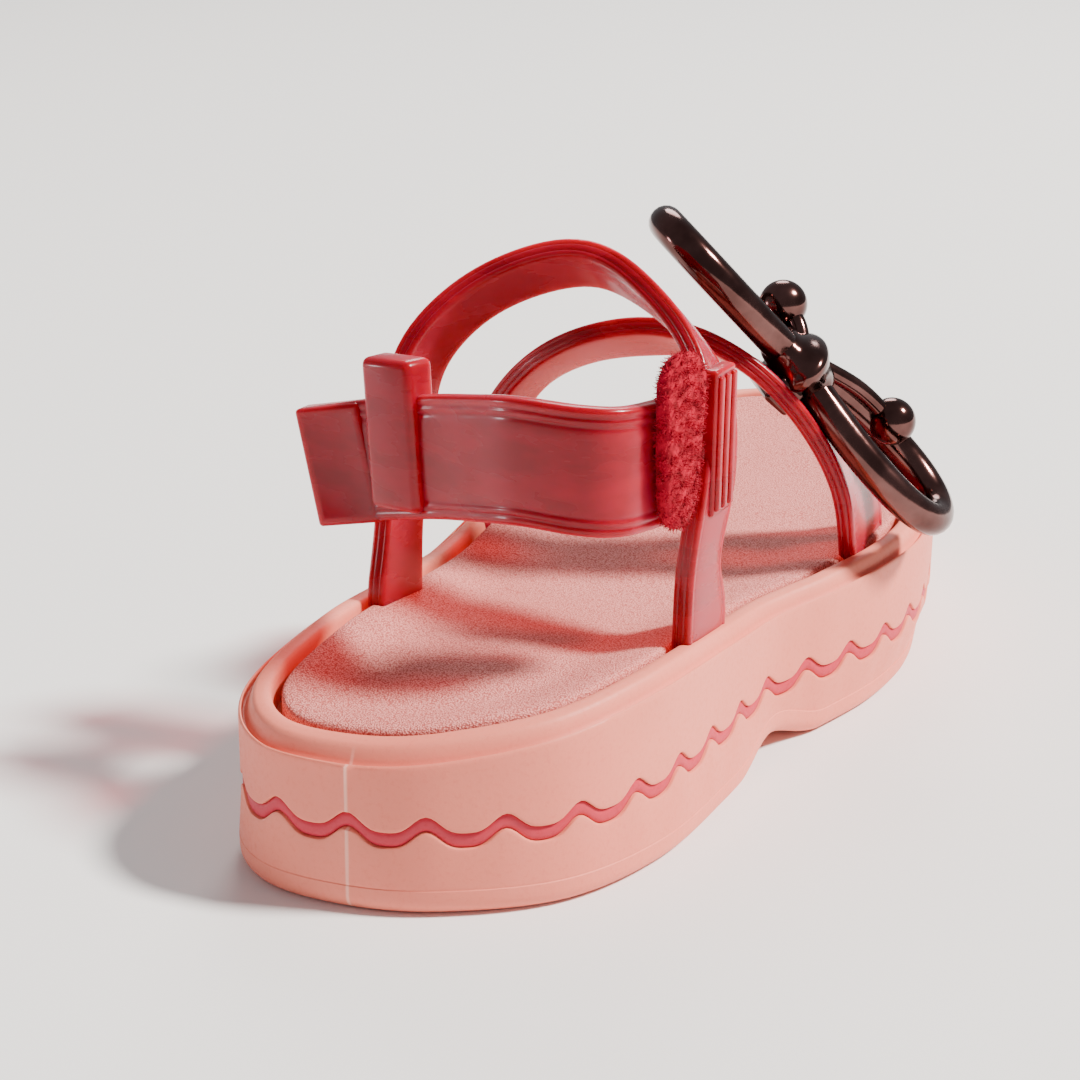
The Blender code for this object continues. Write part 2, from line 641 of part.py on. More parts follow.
def make_bow(front, front_clearance):
    """Metal bow: two tube loops, two tails with balls, and a knot round the strap."""
    seat = Vector((FRONT_HOOP[BOW_ROW][0] * BALL_WIDTH, FRONT_HOOP[BOW_ROW][1] * SOLE_LENGTH,
                   FRONT_HOOP[BOW_ROW][2] * INSTEP_HEIGHT))
    frame = min(front, key=lambda item: (item[0] - seat).length)
    centre, tangent, across, band_face, width = frame
    lift = BAND_THICKNESS / 2 + GAP + WRAP_WALL + BOW_LIFT
    heart = centre + band_face * lift
    down = Vector(BOW_DOWN).normalized()
    ahead = Vector(BOW_FACE).cross(down).normalized()
    face = down.cross(ahead)

    def place(a, b, n=0.0):
        return heart + down * a + ahead * b + face * n

    bm = bmesh.new()
    bmesh.ops.create_uvsphere(bm, u_segments=12, v_segments=8, radius=0.5)
    bmesh.ops.scale(bm, vec=Vector((KNOT_LENGTH, KNOT_WIDTH, KNOT_HEIGHT)), verts=bm.verts[:])
    turn = Matrix([down, ahead, face]).transposed().to_4x4()
    bmesh.ops.transform(bm, matrix=Matrix.Translation(heart) @ turn, verts=bm.verts[:])
    bow = add_object("bow", finish_mesh(bm, "bow"))
    reach = GAP + WRAP_WALL
    wrap = placed_box("wrap_guide", centre, (tangent, across, band_face),
                      (WRAP_LENGTH, width + 2 * reach, BAND_THICKNESS + 2 * reach), 0.6 * MM)
    neck = placed_box("neck_guide", (centre + heart) / 2 + band_face * lift / 4,
                      (tangent, across, band_face),
                      (0.45 * KNOT_LENGTH, 0.5 * KNOT_WIDTH, lift / 2), 0.0)
    boolean(bow, neck, 'UNION')
    boolean(bow, wrap, 'UNION')
    steps = 24
    loops = (("loop_high", -1, 1.0, 0.0), ("loop_low", 1, LOW_LOOP_SHARE, LOW_LOOP_TILT))
    for name, side, share, tilt in loops:
        tilt = math.radians(tilt)
        path = []
        for i in range(steps):
            turn_angle = 2 * math.pi * i / steps
            far = share * BOW_LOOP_LENGTH * (1 - math.cos(turn_angle)) / 2
            wide = BOW_LOOP_WIDTH / 2 * math.sin(turn_angle) * (0.82 - 0.30 * math.cos(turn_angle))
            path.append(place(side * (far + 0.12 * KNOT_LENGTH), wide * math.cos(tilt),
                              wide * math.sin(tilt)))
        plane = face * math.cos(tilt) - ahead * math.sin(tilt)
        loop = add_object(name, tube_mesh(name, path, BOW_TUBE / 2, True, plane), hidden=True)
        boolean(bow, loop, 'UNION')
    for name, a, b, n in (("ball_high", -0.55, 0.33, 0.30), ("ball_low", 1.44, 0.33, 0.30)):
        end = place(a * KNOT_LENGTH, b * KNOT_WIDTH, n * 2 * BOW_BALL)
        ball_bm = bmesh.new()
        bmesh.ops.create_icosphere(ball_bm, subdivisions=2, radius=BOW_BALL / 2,
                                   matrix=Matrix.Translation(end))
        ball = add_object(name, finish_mesh(ball_bm, name), hidden=True)
        start = place(0.1 * a * KNOT_LENGTH, 0.1 * b * KNOT_WIDTH, 0.25 * KNOT_HEIGHT)
        middle = (start + end) / 2 + face * 0.12 * KNOT_HEIGHT
        tail_name = name + "_tail"
        tail_tube = tube_mesh(tail_name, [start, middle, end], BOW_TAIL / 2, False, face)
        tail = add_object(tail_name, tail_tube, hidden=True)
        boolean(bow, tail, 'UNION')
        boolean(bow, ball, 'UNION')
    boolean(bow, front_clearance, 'DIFFERENCE')
    return bow


def heel_spot():
    """Middle of the heel's flat spot, between two tread grooves."""
    start = TREAD_FIELDS[0][0] * SOLE_LENGTH
    return Vector((TREAD_CENTRE, start + 1.5 * TREAD_GROOVE_PITCH, 0.0))


def main():
    clear_scene()
    outline = SoleOutline()
    make_outsole(outline)
    midsole = make_midsole(outline)
    make_wave_strip(outline)
    insole = make_insole(outline)
    ankle = anchored(strap_frames(ANKLE_HOOP, 26))
    front = anchored(strap_frames(FRONT_HOOP, 26))
    strap = heel_strap_frames(30)
    front_clearance = add_object("front_clearance", swept_band(
        "front_clearance", front, BAND_THICKNESS, GAP, GAP), hidden=True)
    strap_clearance = add_object("strap_clearance", swept_band(
        "strap_clearance", strap, HEEL_STRAP_THICKNESS, GAP, GAP), hidden=True)
    for name, frames in (("ankle_slot", ankle), ("front_slot", front)):
        slot = add_object(name, swept_band(name, frames, BAND_THICKNESS, SLOT_GAP, GAP), hidden=True)
        boolean(midsole, slot, 'DIFFERENCE')
        boolean(insole, slot, 'DIFFERENCE')
    make_ankle_hoop(ankle, strap, strap_clearance)
    add_object("front_hoop", swept_band("front_hoop", front, BAND_THICKNESS))
    make_heel_strap(strap)
    make_hook_pad(strap)
    make_bow(front, front_clearance)
    for item in bpy.data.objects:
        item.location = -heel_spot()


main()
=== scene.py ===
# %% [markdown]
# # A jelly sandal
# The sandal has a thick salmon-pink sole in two layers with a wavy red strip between them, a
# grained insole, two hoops and a heel strap of pearly red jelly plastic, a fuzzy
# hook-and-loop pad and a dark metal bow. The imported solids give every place, and this lesson
# dresses them with finer pieces and finishes.

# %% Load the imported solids
import math

import bmesh
import bpy
import numpy as np
from mathutils import Matrix, Vector


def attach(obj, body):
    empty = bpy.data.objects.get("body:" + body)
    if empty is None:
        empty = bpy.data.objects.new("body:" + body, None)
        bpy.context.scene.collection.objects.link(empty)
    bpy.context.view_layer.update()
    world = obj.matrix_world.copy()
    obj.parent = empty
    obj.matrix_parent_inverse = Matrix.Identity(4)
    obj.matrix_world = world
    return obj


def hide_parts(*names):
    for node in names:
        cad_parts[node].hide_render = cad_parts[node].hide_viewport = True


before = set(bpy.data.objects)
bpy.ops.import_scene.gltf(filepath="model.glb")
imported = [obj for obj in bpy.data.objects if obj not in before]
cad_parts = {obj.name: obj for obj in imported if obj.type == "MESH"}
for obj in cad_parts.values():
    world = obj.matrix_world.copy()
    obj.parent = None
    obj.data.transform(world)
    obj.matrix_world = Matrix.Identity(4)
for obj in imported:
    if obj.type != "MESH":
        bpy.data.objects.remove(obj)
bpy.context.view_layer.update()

# %% [markdown]
# The driving sizes come first. They are the same as those of the solids, so that each new
# piece lies where its solid does. The toe points along +Y and the outer side of the foot is
# +X. The tables count Y from the back of the heel, and HEEL_SPOT is the origin.

# %% Driving sizes
MM = 0.001
SOLE_LENGTH = 170.0 * MM
BALL_WIDTH = 66.0 * MM
RIM_HEIGHT = 23.0 * MM
WAVE_HEIGHT = 10.7 * MM
WAVE_LENGTH = 9.4 * MM
WAVE_RISE = 1.1 * MM
WAVE_TOE_SHARE = 0.4
STRIP_INSET = 0.8 * MM
STRIP_DEPTH = 5.0 * MM
TOE_SPRING = 6.0 * MM
TOE_SPRING_START = 0.62
ARCH_HEIGHT = 2.9 * MM
ARCH_START = 0.312
ARCH_END = 0.456
FLARE = 0.9 * MM
BOTTOM_ROUND = 2.2 * MM
RIM_WIDTH = 4.4 * MM
RECESS_DEPTH = 4.0 * MM
INSOLE_GROOVE = 1.0 * MM
INSOLE_LOW = 0.4 * MM
INSOLE_DISH = 1.6 * MM
GAP = 0.3 * MM
INSTEP_HEIGHT = 68.5 * MM
BAND_WIDTH = 11.5 * MM
BAND_THICKNESS = 2.8 * MM
ANCHOR_DEPTH = 5.4 * MM
HEEL_SPOT = Vector((2.0, 28.8, 0.0)) * MM
print("sole length in mm:", round(SOLE_LENGTH / MM, 1))

# %% [markdown]
# The sole has no straight line anywhere, so its outline is a short table of points with a
# smooth curve through them. Two more tables say how the rim rises and how the wall leans on
# the way from heel to toe.

# %% Outline of the sole and its profiles
SPAN_STEPS = 24
SOLE_OUTLINE = [
    # along the sole and across it, as shares of its length and width
    (-0.002, 0.000), (0.024, 0.170), (0.082, 0.335), (0.170, 0.413),
    (0.280, 0.426), (0.368, 0.426), (0.412, 0.452), (0.455, 0.492),
    (0.530, 0.538), (0.610, 0.545), (0.690, 0.508), (0.780, 0.440),
    (0.880, 0.318), (0.965, 0.135), (1.000, -0.090),
    (0.965, -0.310), (0.865, -0.445), (0.735, -0.485), (0.600, -0.475),
    (0.480, -0.447), (0.360, -0.402), (0.250, -0.366), (0.145, -0.348),
    (0.048, -0.314), (0.000, -0.190),
]
RIM_PROFILE = [
    # share of the length, share of RIM_HEIGHT
    (0.00, 0.90), (0.08, 1.02), (0.18, 1.08), (0.27, 1.05),
    (0.38, 0.99), (0.50, 1.03), (0.75, 1.03), (1.00, 1.10),
]
FLARE_PROFILE = [
    # share of the length, share of FLARE
    (0.00, 0.4), (0.25, 1.0), (0.36, 0.3), (0.45, -0.9), (0.60, -1.5), (1.00, -1.5),
]


def smooth_line(points, count, closed=False):
    """Evenly spaced points along a smooth curve through the given ones."""
    points = np.asarray(points, dtype=float)
    if closed:
        knots = np.vstack([points[-1], points, points[0], points[1]])
    else:
        knots = np.vstack([2 * points[0] - points[1], points, 2 * points[-1] - points[-2]])
    fine = []
    for i in range(1, len(knots) - 2):
        a, b, c, d = knots[i - 1:i + 3]
        for t in np.linspace(0.0, 1.0, SPAN_STEPS, endpoint=False):
            fine.append(0.5 * (2 * b + (c - a) * t + (2 * a - 5 * b + 4 * c - d) * t ** 2
                               + (3 * b - a - 3 * c + d) * t ** 3))
    fine.append(knots[-2])
    fine = np.array(fine)
    steps = np.linalg.norm(np.diff(fine, axis=0)[:, :3], axis=1)
    length = np.concatenate([[0.0], np.cumsum(steps)])
    wanted = np.linspace(0.0, length[-1], count, endpoint=not closed)
    even = [np.interp(wanted, length, fine[:, k]) for k in range(fine.shape[1])]
    return np.stack(even, axis=1), length[-1]


def profile(rows, share):
    """Smooth value of a two-column table at a share of the length."""
    shares = np.array([row[0] for row in rows])
    values = np.array([row[1] for row in rows])
    slopes = np.gradient(values, shares)
    i = int(np.clip(np.searchsorted(shares, share) - 1, 0, len(rows) - 2))
    span = shares[i + 1] - shares[i]
    t = float(np.clip((share - shares[i]) / span, 0.0, 1.0))
    return (values[i] * (2 * t ** 3 - 3 * t ** 2 + 1) + slopes[i] * span * (t ** 3 - 2 * t ** 2 + t)
            + values[i + 1] * (3 * t ** 2 - 2 * t ** 3) + slopes[i + 1] * span * (t ** 3 - t ** 2))


def toe_rise(y):
    past = (y / SOLE_LENGTH - TOE_SPRING_START) / (1.0 - TOE_SPRING_START)
    return TOE_SPRING * max(0.0, past) ** 2


def floor_height(y):
    """Underside: flat heel, arch, flat ball, rising toe."""
    share = (y / SOLE_LENGTH - ARCH_START) / (ARCH_END - ARCH_START)
    arch = ARCH_HEIGHT * math.sin(math.pi * share) ** 2 if 0.0 < share < 1.0 else 0.0
    return toe_rise(y) + arch


def wave_line(y):
    return WAVE_HEIGHT + WAVE_TOE_SHARE * toe_rise(y)


def flare(y):
    return FLARE * profile(FLARE_PROFILE, y / SOLE_LENGTH)


def rim_height(y):
    return RIM_HEIGHT * profile(RIM_PROFILE, y / SOLE_LENGTH)


# %% [markdown]
# The wave needs the finest steps, so the outline gets an even number of waves and the same
# number of points in each. A small swelling at the back of the heel is the line that the
# mould leaves there.

# %% Points round the sole
WAVE_STEPS = 16
WAVE_POINT = 0.22
WAVE_DROP = 0.06
SPINE_END = 26.0 * MM
PARTING_AT = 0.1 * MM
PARTING_WIDTH = 0.40 * MM
PARTING_RISE = 0.35 * MM
PARTING_END = 0.1 * SOLE_LENGTH

rows = [(across * BALL_WIDTH, along * SOLE_LENGTH) for along, across in SOLE_OUTLINE]
girth = smooth_line(rows, 100, closed=True)[1]
waves = 2 * round(girth / WAVE_LENGTH / 2)
outline = smooth_line(rows, waves * WAVE_STEPS, closed=True)[0]
ahead = np.roll(outline, -1, axis=0) - np.roll(outline, 1, axis=0)
outward = np.stack([ahead[:, 1], -ahead[:, 0]], axis=1)
outward /= np.linalg.norm(outward, axis=1)[:, None]
ridge = np.where(outline[:, 1] < PARTING_END,
                 PARTING_RISE * np.exp(-((outline[:, 0] - PARTING_AT) / PARTING_WIDTH) ** 2), 0.0)
turns = 2 * math.pi * np.arange(len(outline)) / WAVE_STEPS
wave = WAVE_RISE * (np.cos(turns) + WAVE_POINT * np.cos(2 * turns) - WAVE_DROP)
print("waves round the sole:", waves, "points:", len(outline))


def sole_ring(inset, height, waved=0.0, step=1, ridged=0.0):
    """A closed ring at an inset from the outline; inset and height may depend on Y."""
    ring = []
    for i in range(0, len(outline), step):
        distance = inset(outline[i, 1]) if callable(inset) else inset
        x, y = outline[i] - outward[i] * (distance - ridged * ridge[i])
        ring.append(Vector((x, y, height(y) + waved * wave[i])) - HEEL_SPOT)
    return ring


def sunk_ring(inset, share, height, step=1):
    """A ring drawn in towards the middle line of the foot, to close a face."""
    flat = outline - outward * inset
    outer = flat[:np.argmax(flat[:, 1])]
    inner = flat[np.argmax(flat[:, 1]):]
    ring = []
    for x, y in flat[::step]:
        along = float(np.clip(y, SPINE_END, SOLE_LENGTH - SPINE_END))
        right = np.interp(along, outer[:, 1], outer[:, 0])
        left = np.interp(along, inner[::-1, 1], inner[::-1, 0])
        middle = (left + right) / 2
        point = (middle + share * (x - middle), along + share * (y - along))
        ring.append(Vector((*point, height(point[1]))) - HEEL_SPOT)
    return ring


# %% [markdown]
# Most pieces here are grown in the same way as by hand: a circle is added, its vertices are
# put on a line, its edge is extruded, and the new edge is put on the next line. The ends are
# closed with strips that run straight across.

# %% Helper that grows a piece from ring to ring
MERGE_DISTANCE = 0.001 * MM


def deselect():
    bpy.ops.object.select_all(action='DESELECT')


def named(name):
    """Name the active object and its mesh."""
    piece = bpy.context.object
    piece.name = name
    piece.data.name = name
    return piece


def close_across(mesh, ring):
    """Close a ring of vertices with strips from one side to the other."""
    half = len(ring) // 2
    for i in range(half):
        corners = [ring[-i], ring[i], ring[i + 1], ring[-i - 1]]
        kept = []
        for corner in corners:
            if corner not in kept:
                kept.append(corner)
        mesh.faces.new(kept)


def grow(name, rings, looped=False, crease=35.0):
    """Extrude a circle's edge through all the rings and close it."""
    deselect()
    bpy.ops.mesh.primitive_circle_add(vertices=len(rings[0]), radius=BALL_WIDTH)
    piece = named(name)
    for vertex, point in zip(piece.data.vertices, rings[0]):
        vertex.co = point
    bpy.ops.object.mode_set(mode='EDIT')
    bpy.ops.mesh.select_all(action='SELECT')
    path = rings + [rings[0]] if looped else rings
    for last, ring in zip(path[:-1], path[1:]):
        bpy.ops.mesh.extrude_edges_move()
        mesh = bmesh.from_edit_mesh(piece.data)
        order = {tuple(point): i for i, point in enumerate(last)}
        for vertex in mesh.verts:
            if vertex.select:
                vertex.co = ring[order[tuple(vertex.co)]]
    mesh = bmesh.from_edit_mesh(piece.data)
    if looped:
        bpy.ops.mesh.select_all(action='SELECT')
        bpy.ops.mesh.remove_doubles(threshold=MERGE_DISTANCE)
    else:
        found = {tuple(vertex.co): vertex for vertex in mesh.verts}
        close_across(mesh, [found[tuple(point)] for point in rings[0]])
        close_across(mesh, [found[tuple(point)] for point in rings[-1]])
        bmesh.update_edit_mesh(piece.data)
    bpy.ops.mesh.select_all(action='SELECT')
    bpy.ops.mesh.normals_make_consistent(inside=False)
    bpy.ops.object.mode_set(mode='OBJECT')
    bpy.ops.object.shade_smooth_by_angle(angle=math.radians(crease))
    print(name, "faces:", len(piece.data.polygons))
    return piece


def only(piece):
    deselect()
    piece.select_set(True)
    bpy.context.view_layer.objects.active = piece


def subdivide(piece, levels):
    """Round a piece with a Subdivision Surface modifier and apply it."""
    only(piece)
    modifier = piece.modifiers.new("rounding", 'SUBSURF')
    modifier.levels = levels
    modifier.render_levels = levels
    bpy.ops.object.modifier_apply(modifier=modifier.name)
    bpy.ops.object.shade_smooth(keep_sharp_edges=False)
    return piece


# %% [markdown]
# The lower layer of the sole is one moulding with a rounded bottom edge, a faint line low on
# the wall and a wavy top edge. Tread grooves are cut across the heel and the ball with a
# Boolean, because they are straight and the wall isn't.

# %% Lower layer of the sole
BEAD_HEIGHT = 1.9 * MM
BEAD_INSET = 0.25 * MM
SEAM = BEAD_HEIGHT + 0.3 * GAP
SEAM_INSET = STRIP_INSET + STRIP_DEPTH + GAP
SEAM_ROUND = 0.22 * MM
SEAM_BACK = SEAM_INSET + 4 * SEAM_ROUND
LOW_LINE = 1.4 * MM
LOW_LINE_DEPTH = 0.10 * MM


def bottom_ring(turn):
    """One step of the rounded bottom edge, turn in degrees from the floor up."""
    low = BOTTOM_ROUND * (1 - math.cos(math.radians(turn)))
    side = BOTTOM_ROUND * (1 - math.sin(math.radians(turn)))
    return sole_ring(lambda y: side - flare(y), lambda y: floor_height(y) + low)


def wall_ring(lift, extra):
    """Ring just above the rounded edge of the bottom."""
    return sole_ring(lambda y: extra - flare(y), lambda y: floor_height(y) + BOTTOM_ROUND + lift)


lower_rings = [sunk_ring(BOTTOM_ROUND, share, floor_height) for share in (0.08, 0.35, 0.65, 0.9)]
lower_rings += [bottom_ring(turn) for turn in (0, 15, 30, 45, 60, 75, 90)]
lower_rings += [
    wall_ring(0.5 * LOW_LINE, 0.0), wall_ring(0.9 * LOW_LINE, 0.0),
    wall_ring(LOW_LINE, LOW_LINE_DEPTH), wall_ring(1.3 * LOW_LINE, 0.3 * LOW_LINE_DEPTH),
    sole_ring(0.0, lambda y: wave_line(y) - SEAM / 2 - 2.4 * SEAM_ROUND, 0.9, ridged=1.0),
    sole_ring(0.0, lambda y: wave_line(y) - SEAM / 2 - SEAM_ROUND, 1.0, ridged=1.0),
    sole_ring(0.3 * SEAM_ROUND, lambda y: wave_line(y) - SEAM / 2 - 0.3 * SEAM_ROUND, 1.0),
    sole_ring(SEAM_ROUND, lambda y: wave_line(y) - SEAM / 2, 1.0),
    sole_ring(SEAM_INSET, lambda y: wave_line(y) - SEAM / 2, 1.0),
    sole_ring(SEAM_BACK, lambda y: wave_line(y) - GAP),
]
lower_rings += [sunk_ring(SEAM_BACK, share, lambda y: wave_line(y) - GAP)
                for share in (0.6, 0.08)]
lower_layer = grow("lower_layer", lower_rings)

# %% Tread grooves
TREAD_WIDTH = 2.4 * MM
TREAD_DEPTH = 1.4 * MM
TREAD_PITCH = 9.0 * MM
TREAD_FIELDS = [
    # start and end as shares of the length, reach as a share of the width
    (0.09, 0.33, 0.55), (0.54, 0.80, 0.72),
]

for start, end, reach in TREAD_FIELDS:
    for i in range(int((end - start) * SOLE_LENGTH / TREAD_PITCH) + 1):
        y = start * SOLE_LENGTH + i * TREAD_PITCH
        deselect()
        bpy.ops.mesh.primitive_cube_add(
            size=1.0, location=(0.0, y - HEEL_SPOT.y, floor_height(y)),
            scale=(reach * BALL_WIDTH, TREAD_WIDTH, 2 * TREAD_DEPTH))
        groove = bpy.context.object
        only(lower_layer)
        cut = lower_layer.modifiers.new("groove", 'BOOLEAN')
        cut.object = groove
        bpy.ops.object.modifier_apply(modifier=cut.name)
        bpy.data.objects.remove(groove, do_unlink=True)
print("lower layer with its grooves, faces:", len(lower_layer.data.polygons))

# %% [markdown]
# The upper layer carries the rim. From the side it starts with the same wave, then the wall
# goes up to a small step, and the rim is a soft lip round the recess of the insole. Its
# section is a short table of inset and height below the rim.

# %% Upper layer of the sole
RIM_SECTION = [
    # inset and height above the rim's top, in millimetres
    (0.00, -3.20), (0.00, -2.20), (0.02, -1.88), (0.10, -1.70), (0.24, -1.62),
    (0.38, -1.70), (0.46, -2.00), (0.56, -2.28), (0.76, -2.34), (1.00, -2.14),
    (1.26, -1.66), (1.50, -1.06), (1.72, -0.52), (1.98, -0.16), (2.34, 0.00),
    (3.20, 0.00), (3.72, -0.04), (4.02, -0.20), (4.18, -0.50), (4.26, -1.10),
    (4.40, -RECESS_DEPTH / MM),
]


def upper_seam(inset, lift, waved=1.0, ridged=0.0):
    return sole_ring(inset, lambda y: wave_line(y) + SEAM / 2 + lift, waved, ridged=ridged)


def rim_ring(inset, lift):
    return sole_ring(inset * MM, lambda y: rim_height(y) + lift * MM,
                     ridged=1.0 if inset < 0.1 else 0.0)


def recess_height(y):
    return rim_height(y) - RECESS_DEPTH


upper_rings = [sunk_ring(SEAM_BACK, share, lambda y: wave_line(y) + GAP)
               for share in (0.08, 0.6)]
upper_rings += [
    sole_ring(SEAM_BACK, lambda y: wave_line(y) + GAP),
    upper_seam(SEAM_INSET, 0.0), upper_seam(SEAM_ROUND, 0.0),
    upper_seam(0.3 * SEAM_ROUND, 0.3 * SEAM_ROUND), upper_seam(0.0, SEAM_ROUND, ridged=1.0),
    upper_seam(0.0, 2.4 * SEAM_ROUND, 0.9, ridged=1.0),
    upper_seam(0.0, 8.0 * SEAM_ROUND, 0.0, ridged=1.0),
]
upper_rings += [rim_ring(inset, lift) for inset, lift in RIM_SECTION]
upper_rings += [sunk_ring(RIM_WIDTH, share, recess_height) for share in (0.6, 0.08)]
upper_layer = grow("upper_layer", upper_rings)

# %% [markdown]
# The wavy strip is a red bead that nearly fills the seam. It is a loop of eight
# lines round the sole, so it is grown like the layers and its last ring meets the first.

# %% Wavy strip
STRIP_SECTION = [
    # inset and height as shares of the strip's depth and height
    (1.00, -0.50), (0.06, -0.50), (0.02, -0.42), (0.00, -0.15), (0.00, 0.15),
    (0.02, 0.42), (0.06, 0.50), (1.00, 0.50),
]


def strip_ring(inset, lift):
    return sole_ring(BEAD_INSET + inset * STRIP_DEPTH,
                     lambda y: wave_line(y) + lift * BEAD_HEIGHT, 1.0)


wavy_bead = grow("wavy_bead", [strip_ring(*pair) for pair in STRIP_SECTION], looped=True,
                 crease=60.0)

# %% [markdown]
# The insole drops into the recess. It has a rounded edge and a shallow hollow for the foot.
# Its leather-like grain is too fine to model, so it comes from the finish.

# %% Insole
INSOLE_ROUND = 0.6 * MM
DISH_REACH = 0.45
insole_edge = RIM_WIDTH + INSOLE_GROOVE


def insole_top(y):
    return rim_height(y) - INSOLE_LOW


insole_rings = [sunk_ring(insole_edge, share, lambda y: recess_height(y) + GAP, 2)
                for share in (0.08, 0.6)]
insole_rings.append(sole_ring(insole_edge, lambda y: recess_height(y) + GAP, step=2))
for turn in (0, 18, 36, 54, 72, 90):
    drop = INSOLE_ROUND * (1 - math.sin(math.radians(turn)))
    side = INSOLE_ROUND * (1 - math.cos(math.radians(turn)))
    insole_rings.append(sole_ring(insole_edge + side, lambda y: insole_top(y) - drop, step=2))
for share in (0.97, 0.93, 0.88, 0.82, 0.75, 0.68, 0.6, 0.5, 0.4, 0.3, 0.2, 0.1, 0.04):
    way = min(1.0, (1.0 - share) / DISH_REACH)
    sink = INSOLE_DISH * (3 * way ** 2 - 2 * way ** 3)
    insole_rings.append(sunk_ring(insole_edge + INSOLE_ROUND, share,
                                  lambda y: insole_top(y) - sink, 2))
insole_pad = grow("insole_pad", insole_rings)

# %% [markdown]
# A strap is a section carried along a route. Each row of a route says where the strap's
# middle runs, which way its outer face looks and how wide it is. Both hoops end in a foot
# that goes straight down into the rim.

# %% Routes of the hoops
ANKLE_HOOP = [
    # across, along, up, face, wide
    (-0.268, 0.236, 0.365, (-1.00, 0.00, 0.00), 0.96),
    (-0.274, 0.248, 0.500, (-1.00, 0.00, 0.00), 0.80),
    (-0.286, 0.268, 0.670, (-1.00, 0.10, 0.12), 0.82),
    (-0.276, 0.292, 0.818, (-0.85, 0.30, 0.45), 0.84),
    (-0.173, 0.328, 0.936, (-0.45, 0.50, 0.75), 0.82),
    (0.022, 0.346, 0.998, (0.00, 0.62, 0.78), 0.82),
    (0.192, 0.341, 0.934, (0.45, 0.50, 0.75), 0.97),
    (0.322, 0.321, 0.822, (0.85, 0.30, 0.45), 1.06),
    (0.374, 0.288, 0.670, (1.00, 0.08, 0.12), 0.95),
    (0.370, 0.268, 0.500, (1.00, 0.00, 0.00), 0.80),
    (0.365, 0.278, 0.365, (1.00, 0.00, 0.00), 1.12),
]
FRONT_HOOP = [
    (-0.395, 0.488, 0.350, (-1.00, 0.00, 0.00), 1.05),
    (-0.390, 0.482, 0.480, (-1.00, 0.00, 0.10), 1.00),
    (-0.310, 0.474, 0.630, (-0.85, 0.10, 0.50), 1.00),
    (-0.165, 0.466, 0.738, (-0.50, 0.30, 0.80), 1.04),
    (0.010, 0.466, 0.790, (-0.05, 0.45, 0.90), 1.08),
    (0.155, 0.474, 0.785, (0.30, 0.42, 0.85), 1.14),
    (0.290, 0.496, 0.700, (0.62, 0.40, 0.67), 1.25),
    (0.396, 0.532, 0.540, (0.85, 0.30, 0.35), 1.42),
    (0.440, 0.566, 0.355, (1.00, 0.12, 0.00), 1.58),
]
HOOP_STEPS = 44


def hoop_frames(rows, count):
    """Middle, run, width and face directions and width along a hoop."""
    table = [(across * BALL_WIDTH, along * SOLE_LENGTH, up * INSTEP_HEIGHT, *face, wide * BAND_WIDTH)
             for across, along, up, face, wide in rows]
    even = smooth_line(table, count)[0]
    frames = []
    for i, row in enumerate(even):
        run = Vector(even[min(i + 1, count - 1), :3] - even[max(i - 1, 0), :3]).normalized()
        face = Vector(row[3:6])
        face = (face - run * face.dot(run)).normalized()
        frames.append((Vector(row[:3]) - HEEL_SPOT, run, run.cross(face).normalized(), face, row[6]))
    for end in (0, -1):
        centre, _, _, face, width = frames[end]
        level = rim_height(centre.y + HEEL_SPOT.y) - ANCHOR_DEPTH
        run = Vector((0, 0, 1 if end == 0 else -1))
        face = Vector((face.x, face.y, 0)).normalized()
        foot = (Vector((centre.x, centre.y, level)), run, run.cross(face), face, width)
        frames = [foot] + frames if end == 0 else frames + [foot]
    return frames


ankle = hoop_frames(ANKLE_HOOP, HOOP_STEPS)
front = hoop_frames(FRONT_HOOP, HOOP_STEPS)
print("rings of each hoop:", len(ankle), len(front))

# %% [markdown]
# The hoops are moulded with a thin border rib on the outer face and two fine grooves along
# each edge. That section is a table of shares of half the width and half the thickness, and
# it is mirrored for the other half.

# %% Hoops of jelly plastic
HOOP_SECTION = [
    # share of the half width, share of the half thickness
    (0.30, 0.99), (0.60, 0.95), (0.74, 0.91), (0.79, 0.86), (0.84, 0.94), (0.91, 0.97),
    (0.97, 0.86), (1.00, 0.60), (0.99, 0.42), (0.965, 0.34), (0.99, 0.26), (1.00, 0.10),
    (1.00, -0.10), (0.99, -0.26), (0.965, -0.34), (0.99, -0.42), (1.00, -0.60),
    (0.97, -0.88), (0.90, -0.98), (0.60, -0.98), (0.30, -0.98),
]


def section_points(section, width, thickness):
    """Both halves of a section, in order round it."""
    right = [(u * width / 2, v * thickness / 2) for u, v in section]
    left = [(-u, v) for u, v in reversed(right)]
    return right + left


def band(name, frames, section, thickness, levels=1):
    """Strap with its section carried along the frames, then rounded."""
    rings = []
    for centre, run, across, face, width in frames:
        rings.append([centre + across * u + face * v
                      for u, v in section_points(section, width, thickness)])
    return subdivide(grow(name, rings), levels)


ankle_band = band("ankle_band", ankle, HOOP_SECTION, BAND_THICKNESS)
front_band = band("front_band", front, HOOP_SECTION, BAND_THICKNESS)

# %% [markdown]
# The heel strap runs from the squared end on the inner side, round behind the heel, to the
# fuzzy pad on the outer side. It is wide and thin, with two fine lines near each long edge.

